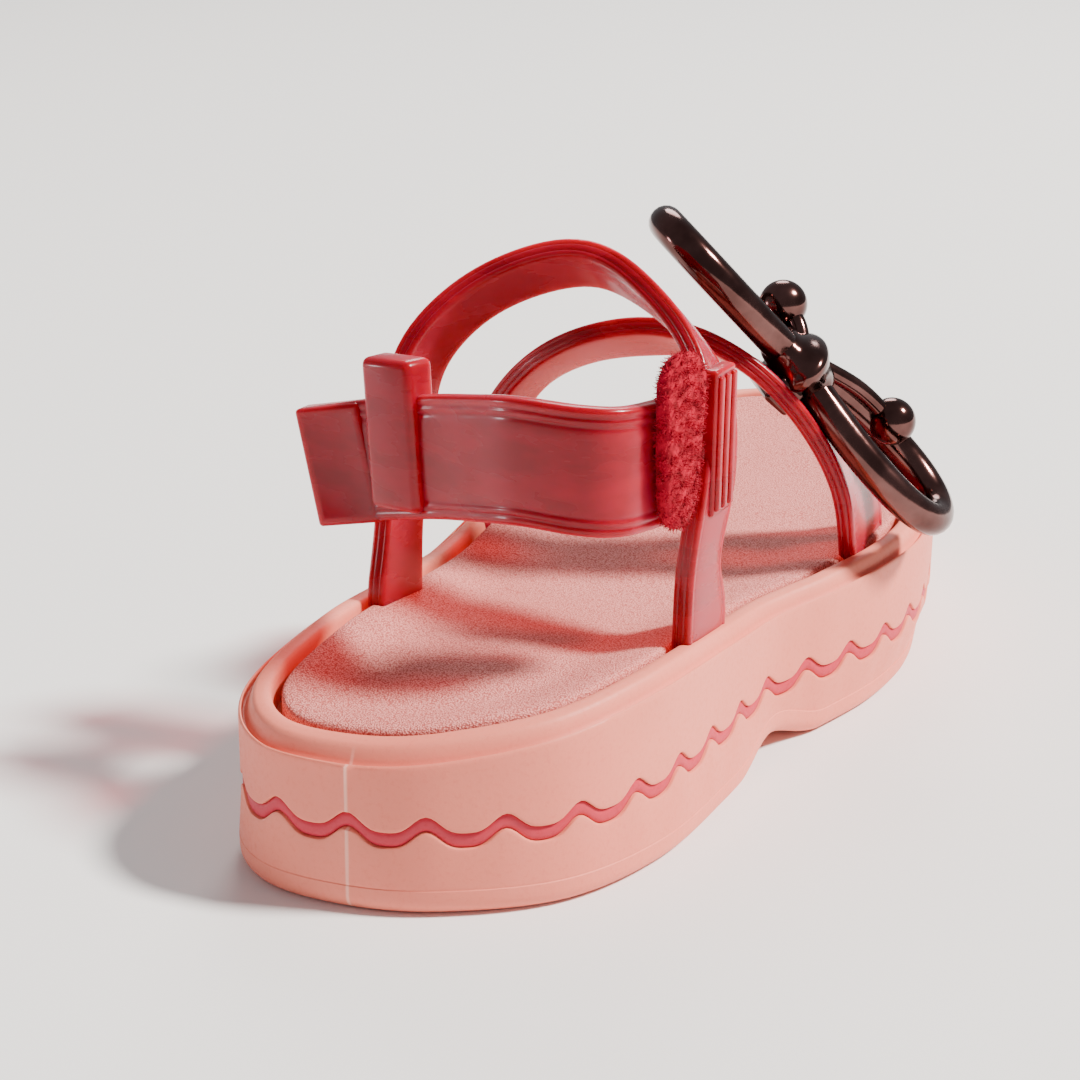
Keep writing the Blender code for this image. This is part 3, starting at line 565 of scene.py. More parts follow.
# %% Heel strap
HEEL_STRAP_HEIGHT = 16.0 * MM
HEEL_STRAP_THICKNESS = 2.2 * MM
STRAP_STEPS = 59
HEEL_STRAP_ROUTE = [
    # across, along, up
    (-0.397, 0.199, 0.625), (-0.332, 0.199, 0.639), (-0.241, 0.196, 0.661),
    (-0.094, 0.182, 0.695), (0.029, 0.165, 0.720), (0.141, 0.150, 0.739),
    (0.261, 0.146, 0.742), (0.324, 0.164, 0.736), (0.352, 0.205, 0.730),
    (0.366, 0.236, 0.728),
]
STRAP_SECTION = [
    # share of the half height, share of the half thickness
    (0.40, 1.00), (0.66, 0.98), (0.70, 0.74), (0.74, 0.98), (0.80, 1.02), (0.84, 0.80),
    (0.88, 1.02), (0.94, 1.00), (0.985, 0.80), (1.00, 0.40), (1.00, -0.40), (0.985, -0.80),
    (0.94, -1.00), (0.80, -1.00), (0.40, -1.00),
]

rows = [(across * BALL_WIDTH, along * SOLE_LENGTH, up * INSTEP_HEIGHT)
        for across, along, up in HEEL_STRAP_ROUTE]
even = smooth_line(rows, STRAP_STEPS)[0]
strap = []
for i, point in enumerate(even):
    run = Vector(even[min(i + 1, len(even) - 1)] - even[max(i - 1, 0)]).normalized()
    face = run.cross(Vector((0, 0, 1))).normalized()
    strap.append((Vector(point) - HEEL_SPOT, run, face.cross(run), face, HEEL_STRAP_HEIGHT))
heel_band = band("heel_band", strap, STRAP_SECTION, HEEL_STRAP_THICKNESS)

# %% [markdown]
# The squared end and the two keepers are small blocks with soft edges. A cube is scaled and
# bevelled, and its mesh is turned into place. The squared end's outer face is also inset and
# pushed in a little, as a moulded block's face sinks between its edges.

# %% Helper for a soft moulded block
BEVEL_STEPS = 4
BEVEL_ABOVE = 50.0
SMOOTH_BELOW = 40.0


def soft_block(name, centre, axes, size, rounding, panel=0.0, sink=0.0):
    """Bevelled block along three directions, with a sunk panel on its second axis."""
    deselect()
    bpy.ops.mesh.primitive_cube_add(size=1.0)
    piece = named(name)
    piece.data.transform(Matrix.Diagonal((*size, 1.0)))
    if panel:
        bpy.ops.object.mode_set(mode='EDIT')
        bpy.ops.mesh.select_mode(type='FACE')
        bpy.ops.mesh.select_all(action='DESELECT')
        mesh = bmesh.from_edit_mesh(piece.data)
        for face in mesh.faces:
            face.select = face.normal.y > 0.9
        bmesh.update_edit_mesh(piece.data)
        bpy.ops.mesh.inset(thickness=panel, depth=0.0)
        bpy.ops.mesh.inset(thickness=2 * sink, depth=-sink)
        bpy.ops.mesh.select_mode(type='VERT')
        bpy.ops.object.mode_set(mode='OBJECT')
    bevel = piece.modifiers.new("soft edges", 'BEVEL')
    bevel.width = rounding
    bevel.segments = BEVEL_STEPS
    bevel.limit_method = 'ANGLE'
    bevel.angle_limit = math.radians(BEVEL_ABOVE)
    bpy.ops.object.modifier_apply(modifier=bevel.name)
    turn = Matrix([axes[0], axes[1], axes[2]]).transposed().to_4x4()
    piece.data.transform(Matrix.Translation(centre) @ turn)
    bpy.ops.object.mode_set(mode='EDIT')
    bpy.ops.mesh.select_all(action='SELECT')
    bpy.ops.mesh.normals_make_consistent(inside=False)
    bpy.ops.object.mode_set(mode='OBJECT')
    bpy.ops.object.shade_smooth_by_angle(angle=math.radians(SMOOTH_BELOW))
    return piece


def joined(name, pieces):
    """One object from several, with its own name."""
    deselect()
    for piece in pieces:
        piece.select_set(True)
    bpy.context.view_layer.objects.active = pieces[0]
    bpy.ops.object.join()
    return named(name)


# %% Squared end of the heel strap
END_BLOCK = 8.2 * MM
END_BLOCK_THICKNESS = 5.0 * MM
END_OVERLAP = 1.7 * MM
END_REACH = END_BLOCK + END_OVERLAP
END_ROUND = 0.55 * MM
PANEL_EDGE = 0.9 * MM
PANEL_SINK = 0.18 * MM

centre, run, up, face, height = strap[0]
end_block = soft_block("end_block", centre + run * END_REACH / 2, (run, face, up),
                       (END_REACH, 0.7 * END_BLOCK_THICKNESS, height), END_ROUND,
                       panel=PANEL_EDGE, sink=PANEL_SINK)

# %% [markdown]
# The inner keeper is a loop that is moulded on the ankle hoop and that the strap passes
# through. It stands above the strap as a stub, and it stops short of the strap's lower edge.

# %% Inner keeper
KEEPER_AT = 0.235
KEEPER_WALL = 1.3 * MM
KEEPER_WIDTH = 8.6 * MM
KEEPER_ARM = 2.4 * MM
KEEPER_SHORT = 1.4 * MM
KEEPER_OVERHANG = 5.2 * MM
KEEPER_ROUND = 1.1 * MM
KEEPER_ARM_ROUND = 0.3 * MM
KEEPER_UPRIGHT = 2.0

centre, _, up, face, height = strap[round(KEEPER_AT * (len(strap) - 1))]
half = HEEL_STRAP_THICKNESS / 2 + GAP + KEEPER_WALL
low = -height / 2 + KEEPER_SHORT
high = height / 2 + KEEPER_OVERHANG
upright = (up + Vector((0.0, 0.0, KEEPER_UPRIGHT))).normalized()
level = -upright.cross(face).normalized()
keeper_axes = (level, face, upright)
keeper_body = soft_block("keeper_body", centre + upright * (low + high) / 2, keeper_axes,
                         (KEEPER_WIDTH, 1.8 * half, high - low), KEEPER_ROUND)
back = centre - face * (half - KEEPER_WALL / 2)
leg = min(ankle[:len(ankle) // 2], key=lambda item: abs(item[0].z - back.z))
reach = leg[0] - back
ahead = Vector((reach.x, reach.y, 0)).normalized()
keeper_arm = soft_block("keeper_arm", (leg[0] + back) / 2,
                        (ahead, Vector((0, 0, 1)).cross(ahead), Vector((0, 0, 1))),
                        (reach.length, KEEPER_ARM, 0.6 * height), KEEPER_ARM_ROUND)
inner_keeper = joined("inner_keeper", [keeper_body, keeper_arm])

# %% Ribbed keeper on the outer side
SIDE_KEEPER_WIDTH = 6.0 * MM
SIDE_KEEPER_HEIGHT = 19.0 * MM
SIDE_KEEPER_WALL = 2.2 * MM
SIDE_KEEPER_RIB = 0.5 * MM
SIDE_KEEPER_AT = 0.70
SIDE_KEEPER_ROUND = 0.5 * MM
SIDE_RIB_ROUND = 0.35 * MM

leg = min(ankle[len(ankle) // 2:], key=lambda item: abs(item[0].z - SIDE_KEEPER_AT * INSTEP_HEIGHT))
centre, width = leg[0], leg[4]
rear = centre.y - width / 2 + 0.2 * SIDE_KEEPER_WIDTH
place = Vector((centre.x + BAND_THICKNESS / 2, rear + 0.25 * SIDE_KEEPER_WIDTH,
                centre.z + 0.09 * SIDE_KEEPER_HEIGHT))
plain_axes = (Vector((1, 0, 0)), Vector((0, 1, 0)), Vector((0, 0, 1)))
blocks = [soft_block("side_plate", place, plain_axes,
                     (SIDE_KEEPER_WALL, SIDE_KEEPER_WIDTH, SIDE_KEEPER_HEIGHT),
                     SIDE_KEEPER_ROUND)]
for rib in (-1, 0, 1):
    spot = place + Vector((SIDE_KEEPER_WALL / 2, rib * 0.33 * SIDE_KEEPER_WIDTH, 0.0))
    blocks.append(soft_block("side_rib", spot, plain_axes,
                             (2 * SIDE_KEEPER_RIB, 0.2 * SIDE_KEEPER_WIDTH,
                              0.92 * SIDE_KEEPER_HEIGHT), SIDE_RIB_ROUND))
side_keeper = joined("side_keeper", blocks)
print("keepers and end block are in place")

# %% [markdown]
# The fuzzy pad is the loop side of the closure. Its body is a rounded slab, and its pile is
# one tiny curved fibre that is copied many times with a seeded turn and length. The order of
# the slab's faces can change from run to run, so they are sorted before the draws.

# %% Fuzzy pad
PAD_HEIGHT = 22.0 * MM
PAD_LENGTH = 9.0 * MM
PAD_THICKNESS = 2.2 * MM
PAD_LIFT = 3.0 * MM
PAD_POINT = 0.45
PAD_CORNER = 0.42 * PAD_LENGTH
FIBRES = 4200
FIBRE_LENGTH = 0.62 * MM
FIBRE_WIDTH = 0.075 * MM
FIBRE_BEND = 0.45 * FIBRE_LENGTH
FIBRE_LEAN = 0.45
FIBRE_RINGS = 4
SORT_WAY = Vector((1.0, 1.41, 1.73))

centre, run, up, face, _ = strap[-1]
lift = HEEL_STRAP_THICKNESS / 2 + GAP + PAD_THICKNESS / 2
middle = centre - run * PAD_LENGTH / 2 + face * lift + up * PAD_LIFT
pad_outline = []
for side_x, side_z, start in ((1, 1, 0), (-1, 1, 90), (-1, -1, 180), (1, -1, 270)):
    for step in range(7):
        angle = math.radians(start + 15 * step)
        pad_outline.append((side_x * (PAD_LENGTH / 2 - PAD_CORNER) + PAD_CORNER * math.cos(angle),
                            side_z * (PAD_HEIGHT / 2 - PAD_CORNER) + PAD_CORNER * math.sin(angle)))


def pad_ring(depth, shrink):
    """Ring of the pad, drawn in towards its pointed lower end."""
    ring = []
    for u, v in pad_outline:
        narrow = 1.0 - PAD_POINT * max(0.0, -2 * v / PAD_HEIGHT - 0.2)
        ring.append(middle + run * u * shrink * narrow + up * v * shrink
                    + face * depth * PAD_THICKNESS)
    return ring


pad_body = grow("pad_body", [pad_ring(-0.5, 0.94), pad_ring(-0.42, 1.0), pad_ring(0.2, 1.0),
                             pad_ring(0.4, 0.93), pad_ring(0.47, 0.6), pad_ring(0.48, 0.1)])
subdivide(pad_body, 1)

fibre_points = []
for share in np.linspace(0.0, 1.0, FIBRE_RINGS):
    bend = FIBRE_BEND * share ** 2
    thin = FIBRE_WIDTH * (1.0 - 0.6 * share)
    for turn in (0, 120, 240):
        fibre_points.append((bend + thin * math.cos(math.radians(turn)),
                             thin * math.sin(math.radians(turn)), FIBRE_LENGTH * share))
fibre_points = np.array(fibre_points)
fibre_faces = []
tip = len(fibre_points) - 3
for i in range(0, tip, 3):
    for k in range(3):
        a = i + k
        b = i + (k + 1) % 3
        fibre_faces.append((a, b, b + 3, a + 3))
fibre_faces.append((tip, tip + 1, tip + 2))

chance = np.random.default_rng(7)
polygons = sorted(pad_body.data.polygons, key=lambda polygon: polygon.center.dot(SORT_WAY))
areas = np.array([polygon.area for polygon in polygons])
picked = chance.choice(len(areas), size=FIBRES, p=areas / areas.sum())
points, faces = [], []
for number, index in enumerate(picked):
    polygon = polygons[index]
    corners = sorted((pad_body.data.vertices[v].co for v in polygon.vertices),
                     key=lambda corner: corner.dot(SORT_WAY))
    weights = chance.dirichlet(np.ones(len(corners)))
    spot = sum((corner * w for corner, w in zip(corners, weights)), Vector())
    lean = Vector(chance.normal(0.0, FIBRE_LEAN, 3))
    stand = (polygon.normal + lean).normalized()
    turn = stand.to_track_quat('Z', 'Y').to_matrix()
    spin = Matrix.Rotation(chance.uniform(0, 2 * math.pi), 3, 'Z')
    matrix = np.array(turn @ spin) * chance.uniform(0.55, 1.0)
    points.extend((fibre_points @ matrix.T + np.array(spot)).tolist())
    first = number * len(fibre_points)
    faces.extend([tuple(first + v for v in side) for side in fibre_faces])
pile_mesh = bpy.data.meshes.new("pad_pile")
pile_mesh.from_pydata(points, [], faces)
pad_pile = bpy.data.objects.new("pad_pile", pile_mesh)
bpy.context.scene.collection.objects.link(pad_pile)
print("fibres on the pad:", FIBRES)

# %% [markdown]
# The bow is dark plated metal: two long loops of round rod, a knotted middle with two short
# tails that end in balls, and a clip that goes round the front hoop. The rod is a ring
# carried round each loop.

# %% Place and directions of the bow
BOW_TUBE = 5.0 * MM
BOW_LOOP_LENGTH = 26.0 * MM
LOW_LOOP_SHARE = 1.12
BOW_LOOP_WIDTH = 17.0 * MM
LOOP_BELLY = 0.82
LOOP_PEAR = 0.30
BOW_BALL = 7.0 * MM
BOW_TAIL = 2.6 * MM
BOW_LIFT = 1.6 * MM
KNOT_LENGTH = 12.0 * MM
KNOT_WIDTH = 15.0 * MM
KNOT_HEIGHT = 7.0 * MM
KNOT_SWELL = 1.25
KNOT_FOLD = 0.13
WRAP_WALL = 1.1 * MM
WRAP_LENGTH = 4.4 * MM
WRAP_ROUND = 0.7 * MM
NECK_ROUND = 0.4 * MM
LOW_LOOP_TILT = math.radians(18.0)
BOW_ROW = 6
BOW_DOWN = Vector((0.61, 0.31, -0.71)).normalized()
BOW_FACE = Vector((0.62, 0.40, 0.67))

seat = Vector((FRONT_HOOP[BOW_ROW][0] * BALL_WIDTH, FRONT_HOOP[BOW_ROW][1] * SOLE_LENGTH,
               FRONT_HOOP[BOW_ROW][2] * INSTEP_HEIGHT)) - HEEL_SPOT
clip = min(front, key=lambda item: (item[0] - seat).length)
bow_lift = BAND_THICKNESS / 2 + GAP + WRAP_WALL + BOW_LIFT
bow_heart = clip[0] + clip[3] * bow_lift
bow_ahead = BOW_FACE.cross(BOW_DOWN).normalized()
bow_face = BOW_DOWN.cross(bow_ahead)


def on_bow(a, b, n=0.0):
    """A point of the bow from its long, cross and face distances."""
    return bow_heart + BOW_DOWN * a + bow_ahead * b + bow_face * n


def rod(name, path, radii, plane, looped=False, sides=20):
    """Round rod along a path, with a radius for each point."""
    rings = []
    count = len(path)
    for i, point in enumerate(path):
        if looped:
            run = (path[(i + 1) % count] - path[i - 1]).normalized()
        else:
            run = (path[min(i + 1, count - 1)] - path[max(i - 1, 0)]).normalized()
        side = run.cross(plane).normalized()
        top = side.cross(run)
        rings.append([point + (side * math.cos(2 * math.pi * k / sides)
                               + top * math.sin(2 * math.pi * k / sides)) * radii[i]
                      for k in range(sides)])
    piece = grow(name, rings, looped)
    bpy.ops.object.shade_smooth()
    return piece


# %% Loops of the bow
LOOP_STEPS = 72
bow_pieces = []
for name, side, share, tilt in (("bow_loop_high", -1, 1.0, 0.0),
                                ("bow_loop_low", 1, LOW_LOOP_SHARE, LOW_LOOP_TILT)):
    path = []
    for i in range(LOOP_STEPS):
        turn = 2 * math.pi * i / LOOP_STEPS
        far = share * BOW_LOOP_LENGTH * (1 - math.cos(turn)) / 2
        wide = BOW_LOOP_WIDTH / 2 * math.sin(turn) * (LOOP_BELLY - LOOP_PEAR * math.cos(turn))
        path.append(on_bow(side * (far + 0.12 * KNOT_LENGTH), wide * math.cos(tilt),
                           wide * math.sin(tilt)))
    plane = bow_face * math.cos(tilt) - bow_ahead * math.sin(tilt)
    bow_pieces.append(rod(name, path, [BOW_TUBE / 2] * LOOP_STEPS, plane, looped=True))

# %% [markdown]
# The knot looks like a band of metal wound over the middle: a rounded body with three folds
# pressed into it. A sphere is scaled to the knot's size, and its rows are moved in or out by
# a wave along its length.

# %% Knot, tails and balls
deselect()
bpy.ops.mesh.primitive_uv_sphere_add(segments=48, ring_count=32, radius=0.5)
knot = named("bow_knot")
for vertex in knot.data.vertices:
    fold = 1.0 + KNOT_FOLD * math.cos(4.0 * math.pi * vertex.co.x + 2.0 * vertex.co.y)
    vertex.co = Vector((vertex.co.x * KNOT_LENGTH, vertex.co.y * KNOT_WIDTH * fold,
                        vertex.co.z * KNOT_SWELL * KNOT_HEIGHT * fold))
knot.data.transform(Matrix.Translation(bow_heart)
                    @ Matrix([BOW_DOWN, bow_ahead, bow_face]).transposed().to_4x4())
bpy.ops.object.shade_smooth()
bow_pieces.append(knot)

BALLS = [
    # name, shares of the knot's length and width, and height as a share of the ball
    ("bow_ball_high", -0.55, 0.33, 0.60), ("bow_ball_low", 1.44, 0.33, 0.60),
]
for name, a, b, n in BALLS:
    end = on_bow(a * KNOT_LENGTH, b * KNOT_WIDTH, n * BOW_BALL)
    deselect()
    bpy.ops.mesh.primitive_uv_sphere_add(segments=40, ring_count=24, radius=BOW_BALL / 2)
    ball = named(name)
    ball.data.transform(Matrix.Translation(end))
    bpy.ops.object.shade_smooth()
    start = on_bow(0.1 * a * KNOT_LENGTH, 0.1 * b * KNOT_WIDTH, 0.25 * KNOT_HEIGHT)
    half_way = (start + end) / 2 + bow_face * 0.12 * KNOT_HEIGHT
    path = [Vector(point) for point in smooth_line([start, half_way, end], 14)[0]]
    tail = rod(name + "_tail", path, [BOW_TAIL / 2] * len(path), bow_face)
    bow_pieces += [ball, tail]

# %% Clip round the front hoop
centre, run, across, face, width = clip
wrap_reach = GAP + WRAP_WALL
bow_clip = soft_block("bow_clip", centre, (run, across, face),
                      (WRAP_LENGTH, 0.9 * width, BAND_THICKNESS + wrap_reach), WRAP_ROUND)
bow_neck = soft_block("bow_neck", (centre + bow_heart) / 2 + face * bow_lift / 4,
                      (run, across, face),
                      (0.45 * KNOT_LENGTH, 0.5 * KNOT_WIDTH, bow_lift / 2), NECK_ROUND)
bow_pieces += [bow_clip, bow_neck]
bow = joined("bow_metalwork", bow_pieces)
print("bow faces:", len(bow.data.polygons))

# %% [markdown]
# Finishes come next. What several finishes share is a node group, built once: a moulded skin
# with a soft cloudiness and a fine bump, and a pebble grain. Each group gives colours,
# roughness and heights only, and the shader stays in the material.

# %% Helpers for finishes
def new_group(name, second_colour, scale_name, scale):
    """An empty shader group with its named sockets; the scale has a default value."""
    group = bpy.data.node_groups.new(name, 'ShaderNodeTree')
    inputs = (("Coordinates", 'Vector'), ("Colour", 'Color'), (second_colour, 'Color'),
              (scale_name, 'Float'))
    for label, kind in inputs:
        socket = group.interface.new_socket(label, in_out='INPUT',
                                            socket_type='NodeSocket' + kind)
    socket.default_value = scale
    for label, kind in (("Colour", 'Color'), ("Roughness", 'Float'), ("Height", 'Float')):
        group.interface.new_socket(label, in_out='OUTPUT', socket_type='NodeSocket' + kind)
    return group, group.nodes.new('NodeGroupInput'), group.nodes.new('NodeGroupOutput')


def feed(tree, value, socket):
    """Link another node's socket to this one, or set a plain value."""
    if hasattr(value, "is_output"):
        tree.links.new(value, socket)
    else:
        socket.default_value = value


def noise(tree, vector, scale, detail=3.0, roughness=0.55):
    """A noise texture on given coordinates; scale is a number or a socket."""
    node = tree.nodes.new('ShaderNodeTexNoise')
    node.inputs["Detail"].default_value = detail
    node.inputs["Roughness"].default_value = roughness
    tree.links.new(vector, node.inputs["Vector"])
    feed(tree, scale, node.inputs["Scale"])
    return node


def spread(tree, value, low, high, to_low, to_high):
    """Map a value from one range to another, kept inside it."""
    node = tree.nodes.new('ShaderNodeMapRange')
    for label, number in (("From Min", low), ("From Max", high), ("To Min", to_low),
                          ("To Max", to_high)):
        node.inputs[label].default_value = number
    tree.links.new(value, node.inputs["Value"])
    return node.outputs["Result"]


def blend_colours(tree, factor, first, second):
    """Mix two colours, each a socket or a value."""
    node = tree.nodes.new('ShaderNodeMix')
    node.data_type = 'RGBA'
    tree.links.new(factor, node.inputs["Factor"])
    feed(tree, first, node.inputs[6])
    feed(tree, second, node.inputs[7])
    return node.outputs[2]


def join_values(tree, operation, first, second):
    """A Math node on a socket and a socket or number."""
    node = tree.nodes.new('ShaderNodeMath')
    node.operation = operation
    tree.links.new(first, node.inputs[0])
    feed(tree, second, node.inputs[1])
    return node.outputs[0]


def two_tone(tree, texture, low, high, first, second):
    """Two colours mixed by a noise texture, from low to high."""
    share = spread(tree, texture.outputs["Fac"], low, high, 0.0, 1.0)
    return blend_colours(tree, share, first, second)


def vary_roughness(tree, texture, smooth, rough, target):
    """Roughness of a shader or a group that follows a noise texture."""
    tree.links.new(spread(tree, texture.outputs["Fac"], 0.3, 0.7, smooth, rough),
                   target.inputs["Roughness"])


# %% Shared node groups
skin, skin_in, skin_out = new_group("moulded_skin", "Shade", "Grain Scale", 1800.0)
cloud = noise(skin, skin_in.outputs["Coordinates"], 45.0, 2.0)
grain = noise(skin, skin_in.outputs["Coordinates"], skin_in.outputs["Grain Scale"], 4.0, 0.65)
amount = spread(skin, cloud.outputs["Fac"], 0.35, 0.75, 0.0, 0.45)
speck = spread(skin, grain.outputs["Fac"], 0.52, 0.72, 0.0, 0.4)
skin.links.new(blend_colours(skin, join_values(skin, 'ADD', amount, speck),
                             skin_in.outputs["Colour"], skin_in.outputs["Shade"]),
               skin_out.inputs["Colour"])
vary_roughness(skin, grain, 0.46, 0.62, skin_out)
skin.links.new(grain.outputs["Fac"], skin_out.inputs["Height"])

pebble, pebble_in, pebble_out = new_group("pebble_grain", "Crevice", "Pebble Scale", 1100.0)
warp = noise(pebble, pebble_in.outputs["Coordinates"], 420.0, 2.0)
wobble = pebble.nodes.new('ShaderNodeVectorMath')
wobble.operation = 'MULTIPLY_ADD'
wobble.inputs[1].default_value = (0.0002, 0.0002, 0.0002)
pebble.links.new(warp.outputs["Color"], wobble.inputs[0])
pebble.links.new(pebble_in.outputs["Coordinates"], wobble.inputs[2])
cells = pebble.nodes.new('ShaderNodeTexVoronoi')
cells.feature = 'F1'
pebble.links.new(wobble.outputs[0], cells.inputs["Vector"])
pebble.links.new(pebble_in.outputs["Pebble Scale"], cells.inputs["Scale"])
crevice = spread(pebble, cells.outputs["Distance"], 0.30, 0.75, 0.0, 1.0)
pebble.links.new(blend_colours(pebble, crevice, pebble_in.outputs["Colour"],
                               pebble_in.outputs["Crevice"]), pebble_out.inputs["Colour"])
pebble.links.new(spread(pebble, cells.outputs["Distance"], 0.1, 0.7, 0.52, 0.85),
                 pebble_out.inputs["Roughness"])
pebble.links.new(join_values(pebble, 'MULTIPLY', crevice, -1.0), pebble_out.inputs["Height"])


# %% Helper for a material
def finish_of(name, **sockets):
    """A material whose Principled shader has the given socket values."""
    material = bpy.data.materials.new(name)
    material.use_nodes = True
    shader = material.node_tree.nodes["Principled BSDF"]
    for label, value in sockets.items():
        shader.inputs[label.replace("_", " ")].default_value = value
    coordinates = material.node_tree.nodes.new('ShaderNodeTexCoord')
    return material, material.node_tree, shader, coordinates.outputs["Object"]


def bump(tree, height, shader, distance, strength=1.0):
    """Turn a height into a bump on the shader's normal."""
    node = tree.nodes.new('ShaderNodeBump')
    node.inputs["Strength"].default_value = strength
    node.inputs["Distance"].default_value = distance
    tree.links.new(height, node.inputs["Height"])
    tree.links.new(node.outputs["Normal"], shader.inputs["Normal"])


def place_group(tree, group, coordinates, shader, colours, scale, distance, strength=1.0):
    """Place a shared group in a material and link what it puts out."""
    node = tree.nodes.new('ShaderNodeGroup')
    node.node_tree = group
    tree.links.new(coordinates, node.inputs["Coordinates"])
    node.inputs[1].default_value = colours[0]
    node.inputs[2].default_value = colours[1]
    node.inputs[3].default_value = scale
    tree.links.new(node.outputs["Colour"], shader.inputs["Base Color"])
    tree.links.new(node.outputs["Roughness"], shader.inputs["Roughness"])
    bump(tree, node.outputs["Height"], shader, distance, strength)


def wear(piece, material, node=None):
    """Give a piece its finish, its body and the node it stands for."""
    piece.data.materials.clear()
    piece.data.materials.append(material)
    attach(piece, "root")
    if node:
        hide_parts(node)


# %% [markdown]
# The sole is a soft foamed plastic. It is matte, a little cloudy, and light glows just under
# its surface, which Subsurface gives. A paler line is painted on the swelling at the heel: a
# painted highlight where that small ridge catches the light.

# %% Sole and strip
# Painted highlight: a paler pink along the ridge at the back of the heel, where it catches the
# light.
LINE_FULL = 0.10 * MM
LINE_GONE = 0.28 * MM
HEEL_FULL = -28.0 * MM
HEEL_GONE = -27.2 * MM
RIDGE_HIGHLIGHT_AMOUNT = 0.65

pink, tree, shader, where = finish_of(
    "salmon_foam", Subsurface_Weight=0.12, Subsurface_Radius=(0.9, 0.35, 0.25),
    Subsurface_Scale=0.003, Specular_IOR_Level=0.35)
place_group(tree, skin, where, shader, [(0.86, 0.235, 0.165, 1.0), (0.76, 0.175, 0.12, 1.0)],
            1500.0, 0.00006, 0.5)
axes = tree.nodes.new('ShaderNodeSeparateXYZ')
tree.links.new(where, axes.inputs["Vector"])
aside = join_values(tree, 'SUBTRACT', axes.outputs["X"], PARTING_AT - HEEL_SPOT.x)
on_ridge_highlight = spread(tree, join_values(tree, 'ABSOLUTE', aside, 0.0), LINE_FULL, LINE_GONE, 1.0, 0.0)
ridge_highlight_at_heel = spread(tree, axes.outputs["Y"], HEEL_FULL, HEEL_GONE, RIDGE_HIGHLIGHT_AMOUNT, 0.0)
skin_colour = shader.inputs["Base Color"].links[0].from_socket
# The painted highlight is blended into the skin colour along the ridge.
tree.links.new(blend_colours(tree, join_values(tree, 'MULTIPLY', on_ridge_highlight, ridge_highlight_at_heel), skin_colour,
                             (0.97, 0.52, 0.42, 1.0)), shader.inputs["Base Color"])
wear(lower_layer, pink, "outsole")
wear(upper_layer, pink, "midsole")

rose, tree, shader, where = finish_of("rose_strip", Specular_IOR_Level=0.45)
place_group(tree, skin, where, shader, [(0.56, 0.018, 0.050, 1.0), (0.44, 0.012, 0.030, 1.0)],
            1500.0, 0.00006, 0.5)
wear(wavy_bead, rose, "wave_strip")

# %% Insole
leather, tree, shader, where = finish_of("grained_insole", Specular_IOR_Level=0.3)
place_group(tree, pebble, where, shader, [(0.88, 0.32, 0.28, 1.0), (0.50, 0.11, 0.095, 1.0)],
            4300.0, 0.00008, 0.9)
wear(insole_pad, leather, "insole")

# %% [markdown]
# Jelly plastic is clear red with fine pearl in it. Light goes in and comes out again, so the
# shader has a deep red Subsurface. A thin coat gives the wet gloss, and a Layer Weight paints
# a milky pink sheen into the colour where the surface is seen at a slant: a painted sheen for
# the pearl's shimmer. Some red light passes through, so the rays that look for a lamp meet a
# clear red instead: the shadows turn red.

# %% Pearly jelly
jelly, tree, shader, where = finish_of(
    "pearly_jelly", IOR=1.47, Subsurface_Weight=0.85,
    Subsurface_Radius=(1.0, 0.06, 0.10), Subsurface_Scale=0.005, Coat_Weight=0.20,
    Coat_Roughness=0.08, Coat_IOR=1.45, Specular_IOR_Level=0.20)
stretch = tree.nodes.new('ShaderNodeMapping')
stretch.inputs["Scale"].default_value = (0.3, 0.3, 1.0)
tree.links.new(where, stretch.inputs["Vector"])
streaks = noise(tree, stretch.outputs["Vector"], 260.0, 3.0)
clouds = noise(tree, where, 60.0, 2.0)
pearl = noise(tree, where, 5200.0, 1.0)
slant = tree.nodes.new('ShaderNodeLayerWeight')
slant.inputs["Blend"].default_value = 0.42
body = two_tone(tree, streaks, 0.35, 0.7, (0.21, 0.0005, 0.007, 1.0),
                (0.32, 0.001, 0.014, 1.0))
# Painted sheen: a milky pink, patchy by a cloud noise, for the pearl's shimmer.
painted_pearl_sheen = two_tone(tree, clouds, 0.4, 0.65, (0.45, 0.018, 0.038, 1.0),
                 (0.54, 0.055, 0.110, 1.0))
# The painted sheen is mixed in where the surface is seen at a slant.
tree.links.new(blend_colours(tree, spread(tree, slant.outputs["Facing"], 0.20, 1.0, 0.0, 0.8),
                             body, painted_pearl_sheen), shader.inputs["Base Color"])
vary_roughness(tree, streaks, 0.20, 0.34, shader)
bump(tree, join_values(tree, 'ADD', streaks.outputs["Fac"],
                       join_values(tree, 'MULTIPLY', pearl.outputs["Fac"], 0.25)),
     shader, 0.00003, 0.5)
rays = tree.nodes.new('ShaderNodeLightPath')
clear_red = tree.nodes.new('ShaderNodeBsdfTransparent')
clear_red.inputs["Color"].default_value = (0.55, 0.06, 0.08, 1.0)
passing = tree.nodes.new('ShaderNodeMixShader')
tree.links.new(rays.outputs["Is Shadow Ray"], passing.inputs["Fac"])
tree.links.new(shader.outputs["BSDF"], passing.inputs[1])
tree.links.new(clear_red.outputs["BSDF"], passing.inputs[2])
tree.links.new(passing.outputs["Shader"], tree.nodes["Material Output"].inputs["Surface"])
for piece, node in ((ankle_band, "ankle_hoop"), (inner_keeper, "ankle_hoop"),
                    (side_keeper, "ankle_hoop"), (front_band, "front_hoop"),
                    (heel_band, "heel_strap"), (end_block, "heel_strap")):
    wear(piece, jelly, node)

